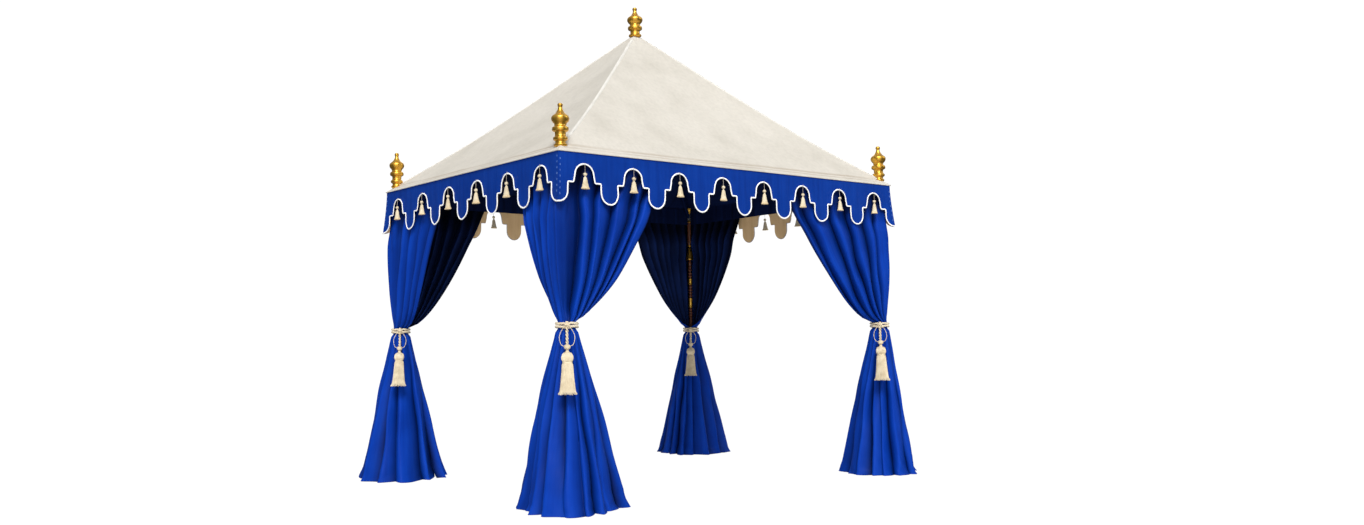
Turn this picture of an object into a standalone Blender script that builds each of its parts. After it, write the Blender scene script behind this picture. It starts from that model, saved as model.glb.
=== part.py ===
"""A draped frame pavilion tent: square-section eave frame on four posts, canvas pyramid roof,
scalloped valances with tassels, and a tied-back curtain round every post.

Metres, +Z up. The origin is on the floor under the middle of the tent. The long side runs
along X, the front faces -Y.
"""
import math

import bmesh
import bpy
from mathutils import Vector

# Driving dimensions
SCALLOP_PITCH = 0.425
FRONT_SCALLOPS = 8
SIDE_SCALLOPS = 6
EAVE_HEIGHT = 2.40
APEX_HEIGHT = 3.725
POST_INSET = 0.062
TIE_HEIGHT = 1.22
WAIST_TOP = TIE_HEIGHT + 0.022
WAIST_BOTTOM = TIE_HEIGHT - 0.022
VALANCE_DROP = 0.35
SEAT_GAP = 0.0003

LENGTH = FRONT_SCALLOPS * SCALLOP_PITCH
DEPTH = SIDE_SCALLOPS * SCALLOP_PITCH
POST_X = LENGTH / 2 - POST_INSET
POST_Y = DEPTH / 2 - POST_INSET

# Canvas roof
CANVAS = 0.008
ROOF_SAG_MIDDLE = 0.030
ROOF_SAG_EAVE = 0.005
PANEL_SAG = 0.035
CROWN_HALF = 0.030
CROWN_UP = 1 - CROWN_HALF / (DEPTH / 2)
ROOF_LEVELS = (0.0, 0.06, 0.2, 0.4, 0.6, 0.8)
ROOF_SIDE_STEPS = 4
COLLAR_HOLE = 0.0433

# Lining under the canvas
LINING_THICKNESS = 0.003
LINING_GAP = 0.0006
LINING_FOOT_SHARE = 0.11

# Frame under the roof
BRACKET_HALF = 0.025
BRACKET_CHAMFER = 0.029
BRACKET_BOTTOM = 2.325
BRACKET_TOP = 2.385
RAIL_SIZE = 0.024
RAIL_BOTTOM = 2.336
PELMET_TOP = 2.362
PELMET_DROP = 0.085
PELMET_THICKNESS = 0.004
HUB_RADIUS = 0.045
HUB_NECK = 0.022
HUB_BOTTOM = 3.50
RAFTER_RADIUS = 0.014
RAFTER_FOOT = 2.358
RAFTER_HEAD = 3.585

# Curtains
CLOTH = 0.008
HEADING_TOP = 2.375
HEADING_BOTTOM = 2.325
CURTAIN_BOTTOM = 0.003
HANG_OFFSET = 0.040
GATHER_POWER = 0.62
WAIST_RADIUS = 0.058
WAIST_SHIFT = 0.012
WAIST_HALF_TURN = math.radians(178)
FLARE_TOP = 1.17
FLARE_TOP_RADIUS = 0.080
HEM_RADIUS = 0.370
PLEATS = 6
PLEAT_DEPTH = 0.009
CURTAIN_LEVELS = (0.0, 0.08, 0.25, 0.45, 0.65, 0.82, 0.94, 1.0)
SKIRT_LEVELS = (1.08, 0.75, 0.35, 0.12)

# Tie-back rope and tassel
ROPE_THICK = 0.018
ROPE_TALL = 0.040
ROPE_SIDES = 16
CORD_RADIUS = 0.0045
TASSEL_SIDE = Vector((-0.584, -0.812, 0.0))

# Valance
VALANCE_THICKNESS = 0.005
LOBE_HALF = 0.18
ARCH_HALF = 0.235
CROWN_AT = 0.24
SHOULDER_AT = 0.60
LOBE_STRAIGHT_TO = 0.78
LOBE_STEPS = 2
ARCH_STEPS = 5
SMALL_TASSEL_OFFSET = 0.012
SMALL_TASSEL_FLAT = 0.5


def clear_scene():
    for item in list(bpy.data.objects):
        bpy.data.objects.remove(item, do_unlink=True)


def finish_material(name, colour, roughness, metallic=0.0):
    material = bpy.data.materials.new(name)
    material.use_nodes = True
    shader = material.node_tree.nodes["Principled BSDF"]
    shader.inputs["Base Color"].default_value = (*colour, 1.0)
    shader.inputs["Roughness"].default_value = roughness
    shader.inputs["Metallic"].default_value = metallic
    return material


def mesh_from(name, points, faces, material):
    mesh = bpy.data.meshes.new(name)
    mesh.from_pydata([tuple(point) for point in points], [], faces)
    mesh.materials.append(material)
    body = bmesh.new()
    body.from_mesh(mesh)
    bmesh.ops.recalc_face_normals(body, faces=body.faces)
    body.to_mesh(mesh)
    body.free()
    return mesh


def place(name, mesh, location=(0, 0, 0), turn=0.0, smooth=False):
    if smooth:
        mesh.shade_smooth()
        mesh.set_sharp_from_angle(angle=math.radians(40))
    item = bpy.data.objects.new(name, mesh)
    item.location = location
    item.rotation_euler = (0, 0, turn)
    bpy.context.collection.objects.link(item)
    return item


def loft(rings):
    """Points and faces of a closed skin through rings of equal length, with flat ends."""
    count = len(rings[0])
    points = [point for ring in rings for point in ring]
    faces = [tuple(reversed(range(count)))]
    for level in range(len(rings) - 1):
        low = level * count
        high = low + count
        for side in range(count):
            following = (side + 1) % count
            faces.append((low + side, low + following, high + following, high + side))
    faces.append(tuple(range(len(points) - count, len(points))))
    return points, faces


def turned(profile, sides):
    """A turned solid. The profile is (radius, height) from bottom to top."""
    rings = []
    for radius, height in profile:
        ring = []
        for side in range(sides):
            angle = 2 * math.pi * side / sides
            ring.append((radius * math.cos(angle), radius * math.sin(angle), height))
        rings.append(ring)
    return loft(rings)


def facet_ring(facets, height):
    """Corners of a prism whose flat sides face the given (angle, distance) pairs."""
    facets = sorted(facets)
    ring = []
    for index, (angle, distance) in enumerate(facets):
        next_angle, next_distance = facets[(index + 1) % len(facets)]
        normal = Vector((math.cos(angle), math.sin(angle)))
        next_normal = Vector((math.cos(next_angle), math.sin(next_angle)))
        cross = normal.x * next_normal.y - normal.y * next_normal.x
        x = (distance * next_normal.y - next_distance * normal.y) / cross
        y = (next_distance * normal.x - distance * next_normal.x) / cross
        ring.append((x, y, height))
    return ring


# Where the four corners are: sign along X, sign along Y, and how far the curtain
# spreads along the front or back and along the side.
CORNERS = {
    "front_left": (-1, -1, 0.90, 0.52),
    "front_right": (1, -1, 1.20, 0.85),
    "back_left": (-1, 1, 0.90, 0.85),
    "back_right": (1, 1, 0.75, 0.72),
}
HIP_ANGLE = math.atan2(POST_Y, POST_X)


def roof_height(x, y):
    """Top of the canvas: a pyramid whose hips and panels sag a little."""
    along = abs(x) / (LENGTH / 2)
    across = abs(y) / (DEPTH / 2)
    ring = max(along, across)
    up = 1 - ring
    rise = APEX_HEIGHT - EAVE_HEIGHT
    height = up - ROOF_SAG_MIDDLE * math.sin(math.pi * up) - ROOF_SAG_EAVE * math.sin(2 * math.pi * up)
    offside = min(along, across) / ring if ring > 0 else 0
    panel = PANEL_SAG * math.sin(math.pi * min(1.0, up / CROWN_UP)) * (1 - offside ** 2)
    return EAVE_HEIGHT + rise * height - panel


CROWN_HEIGHT = roof_height(0, CROWN_HALF)


def roof_ring(up, drop):
    """One rectangle of canvas points, up being 0 at the eave and 1 at the apex."""
    half_x = LENGTH / 2 * (1 - up)
    half_y = DEPTH / 2 * (1 - up)
    corners = [(-1, -1), (1, -1), (1, 1), (-1, 1)]
    ring = []
    for index, start in enumerate(corners):
        end = corners[(index + 1) % 4]
        for step in range(ROOF_SIDE_STEPS):
            part = step / ROOF_SIDE_STEPS
            x = half_x * (start[0] + (end[0] - start[0]) * part)
            y = half_y * (start[1] + (end[1] - start[1]) * part)
            ring.append((x, y, roof_height(x, y) - drop))
    return ring


def roof_skins(drop, thickness, foot_share, closed_crown):
    """Points and faces of a roof layer: an upper and a lower skin joined along the eaves.

    Each patch is two flat triangles. foot_share moves the foot that far up the lowest patches,
    with one point more on every diagonal, so that the layer keeps to the same flat triangles.
    """
    levels = (*ROOF_LEVELS, CROWN_UP)
    count = 4 * ROOF_SIDE_STEPS
    skins = []
    for depth in (drop, drop + thickness):
        rings = [[Vector(point) for point in roof_ring(up, depth)] for up in levels]
        above = rings[1]
        foot = []
        for side, point in enumerate(rings[0]):
            foot.append(point.lerp(above[side], foot_share))
            foot.append(point.lerp(above[(side + 1) % count], foot_share))
        if not foot_share:
            foot = rings[0]
        skins.append([foot, *rings[1:]])
    foot_count = len(skins[0][0])
    per_side = foot_count // count
    shift = foot_count + count * (len(levels) - 1)
    points = [point for skin in skins for ring in skin for point in ring]
    faces = []

    def both(*corners):
        faces.append(corners)
        faces.append(tuple(shift + corner for corner in reversed(corners)))

    for side in range(count):
        following = (side + 1) % count
        near = side * per_side
        far = following * per_side
        middle = near + per_side - 1
        both(middle, far, foot_count + following)
        if per_side == 1:
            both(near, foot_count + following, foot_count + side)
        else:
            both(near, middle, foot_count + following, foot_count + side)
    for level in range(len(levels) - 2):
        low = foot_count + level * count
        high = low + count
        for side in range(count):
            following = (side + 1) % count
            both(low + side, low + following, high + following)
            both(low + side, high + following, high + side)
    for spot in range(foot_count):
        following = (spot + 1) % foot_count
        faces.append((spot, shift + spot, shift + following, following))
    top = shift - count
    if closed_crown:
        both(*range(top, shift))
    else:
        for side in range(count):
            following = (side + 1) % count
            faces.append((top + following, shift + top + following, shift + top + side, top + side))
    return points, faces


def cut_collar_holes(layer, material):
    """The round holes that the corner finials stand through."""
    for name, (sign_x, sign_y, *_) in CORNERS.items():
        profile = ((COLLAR_HOLE, BRACKET_BOTTOM), (COLLAR_HOLE, EAVE_HEIGHT + 0.2))
        points, faces = turned(profile, 12)
        cutter = place(layer.name + name + "_cutter", mesh_from("collar_cutter", points, faces, material),
                       (sign_x * POST_X, sign_y * POST_Y, 0))
        cutter.hide_render = True
        cutter.display_type = "WIRE"
        cut = layer.modifiers.new(name, "BOOLEAN")
        cut.operation = "DIFFERENCE"
        cut.object = cutter


def roof_canopy(material):
    points, faces = roof_skins(0, CANVAS, 0, True)
    canopy = place("roof_canopy", mesh_from("roof_canopy", points, faces, material))
    cut_collar_holes(canopy, material)


def ceiling_lining(material):
    """The dark cloth under the canvas, open round the crown hub."""
    points, faces = roof_skins(CANVAS + LINING_GAP, LINING_THICKNESS, LINING_FOOT_SHARE, False)
    lining = place("ceiling_lining", mesh_from("ceiling_lining", points, faces, material))
    cut_collar_holes(lining, material)


def crown_hub(material):
    """The boss under the apex, with a flat side for every hip rafter."""
    crown_top = CROWN_HEIGHT - CANVAS - SEAT_GAP
    angles = [HIP_ANGLE, math.pi - HIP_ANGLE, math.pi + HIP_ANGLE, 2 * math.pi - HIP_ANGLE]
    fillers = [0, math.pi / 2, math.pi, 3 * math.pi / 2]
    rings = []
    for radius, height in ((HUB_NECK, HUB_BOTTOM), (HUB_RADIUS, HUB_BOTTOM + 0.02),
                           (HUB_RADIUS, crown_top - 0.05), (HUB_NECK, crown_top)):
        facets = [(angle, radius) for angle in angles] + [(angle, radius) for angle in fillers]
        rings.append(facet_ring(facets, height))
    points, faces = loft(rings)
    place("crown_hub", mesh_from("crown_hub", points, faces, material))


def corner_brackets(material):
    """The casting that joins a post, two rails and a hip rafter."""
    for name, (sign_x, sign_y, *_) in CORNERS.items():
        inward = math.atan2(-sign_y * POST_Y, -sign_x * POST_X) % (2 * math.pi)
        facets = [(quarter * math.pi / 2, BRACKET_HALF) for quarter in range(4)]
        facets.append((inward, BRACKET_CHAMFER))
        rings = [facet_ring(facets, BRACKET_BOTTOM), facet_ring(facets, BRACKET_TOP)]
        points, faces = loft(rings)
        place("bracket_" + name, mesh_from("bracket", points, faces, material),
              (sign_x * POST_X, sign_y * POST_Y, 0))


def hip_rafters(material):
    """Round poles cut upright at both ends, from each bracket to the crown hub."""
    sides = 8
    for name, (sign_x, sign_y, *_) in CORNERS.items():
        inward = Vector((-sign_x * POST_X, -sign_y * POST_Y, 0))
        run = inward.length
        inward.normalize()
        across = Vector((-inward.y, inward.x, 0))
        start = BRACKET_CHAMFER + SEAT_GAP
        end = run - HUB_RADIUS - SEAT_GAP
        steep = math.hypot(RAFTER_HEAD - RAFTER_FOOT, end - start) / (end - start)
        foot = Vector((sign_x * POST_X, sign_y * POST_Y, RAFTER_FOOT)) + inward * start
        head = Vector((sign_x * POST_X, sign_y * POST_Y, RAFTER_HEAD)) + inward * end
        rings = []
        for centre in (foot, head):
            ring = []
            for side in range(sides):
                angle = 2 * math.pi * side / sides
                lateral = across * (RAFTER_RADIUS * math.cos(angle))
                upright = Vector((0, 0, RAFTER_RADIUS * steep * math.sin(angle)))
                ring.append(centre + lateral + upright)
            rings.append(ring)
        points, faces = loft(rings)
        place("rafter_" + name, mesh_from("rafter", points, faces, material))


def bar(length, width, height, material, name):
    """A square bar centred on X, its outer face at y = 0, its bottom at z = 0."""
    points = []
    for x in (-length / 2, length / 2):
        points += [(x, 0, 0), (x, width, 0), (x, width, height), (x, 0, height)]
    faces = [(0, 1, 2, 3), (7, 6, 5, 4), (0, 4, 5, 1), (1, 5, 6, 2), (2, 6, 7, 3), (3, 7, 4, 0)]
    return mesh_from(name, points, faces, material)


def side_frames():
    """Each side's name, the way it faces, half its depth from the middle, and its length."""
    return (
        ("front", 0.0, DEPTH / 2, LENGTH, FRONT_SCALLOPS),
        ("right", math.pi / 2, LENGTH / 2, DEPTH, SIDE_SCALLOPS),
        ("back", math.pi, DEPTH / 2, LENGTH, FRONT_SCALLOPS),
        ("left", -math.pi / 2, LENGTH / 2, DEPTH, SIDE_SCALLOPS),
    )


def facing_out(turn, distance, height):
    """The place of a side's local origin: on its outer plane, in the middle of the side."""
    return (distance * math.sin(turn), -distance * math.cos(turn), height)


def rails_and_pelmets(rail_material, pelmet_material):
    rail_inset = POST_INSET - BRACKET_HALF
    pelmet_inset = rail_inset + RAIL_SIZE + SEAT_GAP
    for name, turn, out, length, _ in side_frames():
        clear = length - 2 * (POST_INSET + BRACKET_HALF + SEAT_GAP)
        rail = bar(clear, RAIL_SIZE, RAIL_SIZE, rail_material, "rail")
        place("eave_rail_" + name, rail, facing_out(turn, out - rail_inset, RAIL_BOTTOM), turn)
        pelmet = bar(clear, PELMET_THICKNESS, PELMET_DROP, pelmet_material, "pelmet")
        place("pelmet_" + name, pelmet,
              facing_out(turn, out - pelmet_inset, PELMET_TOP - PELMET_DROP), turn)


def post_profile():
    """The turned post: a flat foot, a plain shaft, and the beads that show above the tie."""
    shaft = 0.017
    bead = 0.023
    profile = [(0.050, 0.0), (0.050, 0.008), (0.030, 0.014), (shaft, 0.030), (shaft, 1.30)]
    for low, high in ((1.34, 1.44), (1.54, 1.63)):
        profile += [(bead, low), (bead, high), (shaft, high + 0.012), (shaft, high + 0.06)]
    bell_low = 1.855
    bell_high = 2.01
    profile += [(shaft, bell_low - 0.015), (0.030, bell_low), (0.021, bell_low + 0.05)]
    profile += [(0.016, bell_high), (bead, bell_high + 0.03), (bead, bell_high + 0.07)]
    profile += [(shaft, bell_high + 0.08), (shaft, BRACKET_BOTTOM - SEAT_GAP)]
    return profile


def posts(material):
    points, faces = turned(post_profile(), 8)
    mesh = mesh_from("post", points, faces, material)
    for name, (sign_x, sign_y, *_) in CORNERS.items():
        place("post_" + name, mesh, (sign_x * POST_X, sign_y * POST_Y, 0), smooth=True)


def corner_finials(material):
    seat = BRACKET_TOP + SEAT_GAP
    tip = 2.728
    profile = (
        (0.024, seat), (0.024, tip - 0.322), (0.0246, tip - 0.312), (0.033, tip - 0.308),
        (0.034, tip - 0.300), (0.0425, tip - 0.292), (0.0425, tip - 0.282), (0.029, tip - 0.268),
        (0.0465, tip - 0.254), (0.0465, tip - 0.243), (0.032, tip - 0.228), (0.039, tip - 0.204),
        (0.0525, tip - 0.188), (0.0525, tip - 0.174), (0.038, tip - 0.158), (0.056, tip - 0.128),
        (0.059, tip - 0.112), (0.046, tip - 0.092), (0.029, tip - 0.070), (0.014, tip - 0.026),
        (0.016, tip - 0.012), (0.006, tip),
    )
    points, faces = turned(profile, 12)
    mesh = mesh_from("corner_finial", points, faces, material)
    for name, (sign_x, sign_y, *_) in CORNERS.items():
        place("finial_" + name, mesh, (sign_x * POST_X, sign_y * POST_Y, 0), smooth=True)


def apex_finial(material):
    seat = CROWN_HEIGHT + SEAT_GAP
    tip = seat + 0.262
    profile = (
        (0.028, seat), (0.039, seat + 0.012), (0.053, tip - 0.246), (0.053, tip - 0.234),
        (0.035, tip - 0.216), (0.057, tip - 0.188), (0.057, tip - 0.174), (0.044, tip - 0.156),
        (0.062, tip - 0.132), (0.066, tip - 0.116), (0.052, tip - 0.096), (0.0335, tip - 0.070),
        (0.015, tip - 0.029), (0.0176, tip - 0.012), (0.007, tip),
    )
    points, faces = turned(profile, 12)
    place("finial_apex", mesh_from("apex_finial", points, faces, material), smooth=True)


def skirt_radius(height):
    """Middle of the cloth below the tie, from the waist down to the hem."""
    if height >= FLARE_TOP:
        part = min(1.0, (height - FLARE_TOP) / (WAIST_BOTTOM - FLARE_TOP))
        return FLARE_TOP_RADIUS + (WAIST_RADIUS - FLARE_TOP_RADIUS) * part
    return FLARE_TOP_RADIUS + (HEM_RADIUS - FLARE_TOP_RADIUS) * (FLARE_TOP - height) / FLARE_TOP


def curtain_path(height, span_x, span_y, steps):
    """The cloth's plan line at one height, seen from its post with both spans positive."""
    shift = WAIST_SHIFT
    line = []
    for step in range(steps + 1):
        share = 2 * step / steps - 1
        angle = math.radians(-135) + share * WAIST_HALF_TURN
        if height <= TIE_HEIGHT:
            radius = skirt_radius(height)
            line.append(Vector((shift + radius * math.cos(angle), shift + radius * math.sin(angle))))
            continue
        waist = Vector((shift + WAIST_RADIUS * math.cos(angle), shift + WAIST_RADIUS * math.sin(angle)))
        down = min(1.0, max(0.0, (HEADING_BOTTOM - height) / (HEADING_BOTTOM - WAIST_TOP)))
        spread = (1 - down) ** GATHER_POWER
        seat = BRACKET_HALF + SEAT_GAP + CLOTH / 2
        ease = min(1.0, max(0.0, (HEADING_BOTTOM - height) / 0.08))
        offset = seat + (HANG_OFFSET - seat) * ease
        if share >= 0:
            hung = Vector((-offset + share * (span_x + offset), -offset))
        else:
            hung = Vector((-offset, -offset - share * (span_y + offset)))
        line.append(waist + (hung - waist) * spread)
    return line


def line_normals(line):
    """Mitred sideways directions of a plan line."""
    normals = []
    for index, point in enumerate(line):
        before = line[index] - line[index - 1] if index > 0 else line[1] - line[0]
        after = line[index + 1] - point if index < len(line) - 1 else before
        before = before.normalized()
        after = after.normalized()
        first = Vector((before.y, -before.x))
        second = Vector((after.y, -after.x))
        normals.append((first + second) / (1 + first.dot(second)))
    return normals


def curtain(name, sign_x, sign_y, span_x, span_y, material):
    """One pleated sheet with thickness: flat heading, gathered waist, flared skirt."""
    steps = PLEATS * 4
    hang = HEADING_BOTTOM - WAIST_TOP
    heights = [HEADING_TOP, *(HEADING_BOTTOM - hang * level for level in CURTAIN_LEVELS)]
    heights += [WAIST_BOTTOM, FLARE_TOP, *SKIRT_LEVELS, CURTAIN_BOTTOM]
    rings = []
    for height in heights:
        line = curtain_path(height, span_x, span_y, steps)
        normals = line_normals(line)
        above = max(0.0, min(1.0, (HEADING_BOTTOM - height) / 0.10))
        waist = min(1.0, max(height - WAIST_TOP, WAIST_BOTTOM - height, 0.0) / 0.30)
        depth = PLEAT_DEPTH * above * waist
        thickness = CLOTH if height > TIE_HEIGHT + 0.2 else 0.006
        outer = []
        inner = []
        for index, (point, normal) in enumerate(zip(line, normals)):
            from_corner = min(1.0, abs(2 * index / steps - 1) / 0.25)
            wave = depth * from_corner * math.sin(math.pi * index / 2)
            outer.append(point + normal * (wave + thickness / 2))
            inner.append(point + normal * (wave - thickness / 2))
        ring = [(p.x, p.y, height) for p in outer] + [(p.x, p.y, height) for p in reversed(inner)]
        rings.append(ring)
    points, faces = loft(rings)
    faces = strip_ends(faces, steps, len(rings))
    place("curtain_" + name, mesh_from("curtain_" + name, mirrored(points, sign_x, sign_y), faces, material),
          (sign_x * POST_X, sign_y * POST_Y, 0))


def strip_ends(faces, steps, levels):
    """Swap the two long end faces of a curtain loft for quads between its two skins."""
    count = 2 * (steps + 1)
    ends = []
    for level in (0, levels - 1):
        base = level * count
        for step in range(steps):
            ends.append((base + step, base + step + 1, base + count - 2 - step, base + count - 1 - step))
    return faces[1:-1] + ends


def mirrored(points, sign_x, sign_y):
    """A front-left shape turned into the one for another corner."""
    return [(-x * sign_x, -y * sign_y, z) for x, y, z in points]


def tie_centre(sign_x, sign_y):
    return Vector((sign_x * (POST_X - WAIST_SHIFT), sign_y * (POST_Y - WAIST_SHIFT), 0))


def rope_inner_radius():
    """The rope ring hugs the waist, its flat facets included."""
    cloth_edge = WAIST_RADIUS + 0.003
    return (cloth_edge + SEAT_GAP) / math.cos(math.pi / ROPE_SIDES)


def tie_ropes(material):
    inner = rope_inner_radius()
    middle = inner + ROPE_THICK / 2
    start = math.atan2(TASSEL_SIDE.y, TASSEL_SIDE.x)
    section = 6
    for name, (sign_x, sign_y, *_) in CORNERS.items():
        points = []
        faces = []
        for side in range(ROPE_SIDES):
            around = start + 2 * math.pi * side / ROPE_SIDES
            for part in range(section):
                angle = 2 * math.pi * part / section
                radius = middle + ROPE_THICK / 2 * math.cos(angle)
                height = ROPE_TALL / 2 * math.sin(angle)
                points.append((radius * math.cos(around), radius * math.sin(around), height))
        for side in range(ROPE_SIDES):
            for part in range(section):
                following = (side + 1) % ROPE_SIDES
                faces.append((side * section + part, following * section + part,
                              following * section + (part + 1) % section,
                              side * section + (part + 1) % section))
        mesh = mesh_from("tie_rope", points, faces, material)
        location = tie_centre(sign_x, sign_y) + Vector((0, 0, TIE_HEIGHT))
        place("tie_rope_" + name, mesh, location, smooth=True)


def tie_tassels(material):
    """A cord, a ball, a domed head and a flared fringe, leaning on the skirt."""
    rope_edge = rope_inner_radius() + ROPE_THICK + SEAT_GAP
    facing_rope = math.atan2(-TASSEL_SIDE.y, -TASSEL_SIDE.x)
    sides = 8
    shape = (
        (CORD_RADIUS, TIE_HEIGHT + 0.008), (CORD_RADIUS, TIE_HEIGHT - 0.008), (CORD_RADIUS, 1.10),
        (0.018, 1.092), (0.023, 1.075),
        (0.009, 1.052), (0.024, 1.038), (0.036, 1.012), (0.034, 0.975), (0.046, 0.850),
        (0.060, 0.765),
    )
    for name, (sign_x, sign_y, *_) in CORNERS.items():
        rings = []
        for radius, height in shape:
            cloth_edge = skirt_radius(height) + PLEAT_DEPTH + 0.004
            outward = max(rope_edge, cloth_edge) + radius
            centre = TASSEL_SIDE.normalized() * outward
            ring = []
            for side in range(sides):
                angle = facing_rope - 2 * math.pi * side / sides
                ring.append((centre.x + radius * math.cos(angle),
                             centre.y + radius * math.sin(angle), height))
            rings.append(ring)
        points, faces = loft(rings)
        place("tie_tassel_" + name, mesh_from("tie_tassel", points, faces, material),
              tie_centre(sign_x, sign_y), smooth=True)


def scallop_line(scallops, length):
    """The valance's lower edge, a lobe at both ends and one arch in every pitch."""
    pitch = SCALLOP_PITCH
    drop = VALANCE_DROP
    line = []
    for scallop in range(scallops):
        start = scallop * pitch
        for part in range(1, LOBE_STEPS + 1):
            angle = math.pi / 2 * part / LOBE_STEPS
            line.append((start + LOBE_HALF * pitch * math.sin(angle),
                         -drop * (LOBE_STRAIGHT_TO + (1 - LOBE_STRAIGHT_TO) * math.cos(angle))))
        line.append((start + LOBE_HALF * pitch, -drop * SHOULDER_AT))
        for part in range(ARCH_STEPS + 1):
            angle = math.pi * part / ARCH_STEPS
            line.append((start + pitch / 2 - ARCH_HALF * pitch * math.cos(angle),
                         -drop * (SHOULDER_AT - (SHOULDER_AT - CROWN_AT) * math.sin(angle))))
        line.append((start + (1 - LOBE_HALF) * pitch, -drop * SHOULDER_AT))
        for part in range(LOBE_STEPS):
            angle = math.pi / 2 * part / LOBE_STEPS
            line.append((start + pitch - LOBE_HALF * pitch * math.cos(angle),
                         -drop * (LOBE_STRAIGHT_TO + (1 - LOBE_STRAIGHT_TO) * math.sin(angle))))
        line.append((start + pitch, -drop))
    trim = (scallops * pitch - length) / 2
    line = [(x, z) for x, z in line if trim < x < scallops * pitch - trim]
    line = [(trim, -drop)] + line + [(scallops * pitch - trim, -drop)]
    middle = scallops * pitch / 2
    return [(x - middle, z) for x, z in line], [(k + 0.5) * pitch - middle for k in range(scallops)]


def small_tassels(crowns):
    """The little tassel in every arch, hung by its string from the cloth at the crown."""
    sides = 6
    crown = -VALANCE_DROP * CROWN_AT
    shape = (
        (0.0025, crown + 0.010, 0.0), (0.0025, crown - 0.055, SMALL_TASSEL_OFFSET),
        (0.013, crown - 0.066, SMALL_TASSEL_OFFSET), (0.013, crown - 0.080, SMALL_TASSEL_OFFSET),
        (0.017, crown - 0.095, SMALL_TASSEL_OFFSET), (0.030, crown - 0.165, SMALL_TASSEL_OFFSET),
    )
    points = []
    faces = []
    for x in crowns:
        rings = []
        for radius, height, outward in shape:
            ring = []
            for side in range(sides):
                angle = -2 * math.pi * side / sides
                flat = SMALL_TASSEL_FLAT if radius > 0.005 else 1.0
                ring.append((x + radius * math.cos(angle),
                             VALANCE_THICKNESS / 2 - outward + flat * radius * math.sin(angle), height))
            rings.append(ring)
        more_points, more_faces = loft(rings)
        start = len(points)
        points += more_points
        faces += [tuple(start + corner for corner in face) for face in more_faces]
    return points, faces


def valances(material):
    top = EAVE_HEIGHT - CANVAS - SEAT_GAP
    for name, turn, out, length, scallops in side_frames():
        inset = 0 if name in ("front", "back") else VALANCE_THICKNESS + SEAT_GAP
        edge, crowns = scallop_line(scallops, length - 2 * inset)
        outline = [(edge[0][0], 0.0), *edge, (edge[-1][0], 0.0)]
        count = len(outline)
        points = [(x, y, z) for y in (0.0, VALANCE_THICKNESS) for x, z in outline]
        faces = [tuple(range(count)), tuple(reversed(range(count, 2 * count)))]
        for index in range(count):
            following = (index + 1) % count
            faces.append((index, count + index, count + following, following))
        location = facing_out(turn, out, top)
        panel = place("valance_" + name, mesh_from("valance_" + name, points, faces, material),
                      location, turn)
        points, faces = small_tassels(crowns)
        tassels = place("valance_" + name + "_tassels", mesh_from("small_tassels", points, faces, material),
                        location, turn)
        tassels.hide_render = True
        tassels.display_type = "WIRE"
        join = panel.modifiers.new("tassels", "BOOLEAN")
        join.operation = "UNION"
        join.object = tassels


def build():
    clear_scene()
    canvas = finish_material("canvas", (0.80, 0.77, 0.72), 0.85)
    blue = finish_material("blue_cloth", (0.005, 0.04, 0.32), 0.7)
    navy = finish_material("navy_lining", (0.003, 0.006, 0.03), 0.8)
    gold = finish_material("gold_leaf", (0.72, 0.38, 0.05), 0.28, 1.0)
    wood = finish_material("dark_wood", (0.10, 0.035, 0.015), 0.45)
    steel = finish_material("frame_metal", (0.35, 0.33, 0.30), 0.5, 0.8)
    cream = finish_material("cream_cord", (0.80, 0.70, 0.50), 0.8)
    roof_canopy(canvas)
    ceiling_lining(navy)
    crown_hub(steel)
    corner_brackets(steel)
    hip_rafters(wood)
    rails_and_pelmets(steel, navy)
    posts(wood)
    corner_finials(gold)
    apex_finial(gold)
    for name, (sign_x, sign_y, span_x, span_y) in CORNERS.items():
        curtain(name, sign_x, sign_y, span_x, span_y, blue)
    tie_ropes(cream)
    tie_tassels(cream)
    valances(blue)


build()
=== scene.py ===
"""Looks of the draped frame pavilion tent: canvas roof, scalloped valances, tied curtains,
turned gold finials, rope ties and tassels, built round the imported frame.

Metres, +Z up, the same frame as the solids. The front faces -Y.
"""

import math

import bpy
import numpy as np
from mathutils import Matrix, Vector


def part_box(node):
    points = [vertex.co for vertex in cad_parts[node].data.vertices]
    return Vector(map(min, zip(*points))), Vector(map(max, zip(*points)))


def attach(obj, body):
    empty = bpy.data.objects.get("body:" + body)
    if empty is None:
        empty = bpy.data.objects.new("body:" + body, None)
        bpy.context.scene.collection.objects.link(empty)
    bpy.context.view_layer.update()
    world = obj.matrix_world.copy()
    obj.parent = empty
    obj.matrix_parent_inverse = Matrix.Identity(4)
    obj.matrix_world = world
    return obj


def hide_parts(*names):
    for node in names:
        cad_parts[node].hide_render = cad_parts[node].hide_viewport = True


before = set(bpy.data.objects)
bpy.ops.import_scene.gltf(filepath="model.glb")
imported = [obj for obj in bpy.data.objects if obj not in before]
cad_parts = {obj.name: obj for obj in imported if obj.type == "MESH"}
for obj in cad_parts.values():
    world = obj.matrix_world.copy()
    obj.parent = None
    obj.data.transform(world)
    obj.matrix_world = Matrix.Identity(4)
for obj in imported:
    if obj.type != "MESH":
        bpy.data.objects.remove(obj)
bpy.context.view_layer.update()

# Main sizes, taken from the frame
roof_low, roof_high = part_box("roof_canopy")
post_low, post_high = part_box("post_back_right")
CANVAS = 0.008
HALF_X = roof_high.x
HALF_Y = roof_high.y
EAVE = roof_low.z + CANVAS
POST_X = (post_low.x + post_high.x) / 2
POST_Y = (post_low.y + post_high.y) / 2
SIDES = ("front", "right", "back", "left")

# The signs of each corner, and how far its curtain reaches from the post along X and along Y
CORNERS = {
    "front_left": (-1, -1, 0.90, 0.52),
    "front_right": (1, -1, 1.20, 0.85),
    "back_left": (-1, 1, 0.90, 0.85),
    "back_right": (1, 1, 0.75, 0.72),
}

# Width of a scallop: eight fill the long side
PITCH = 2 * HALF_X / 8

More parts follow.
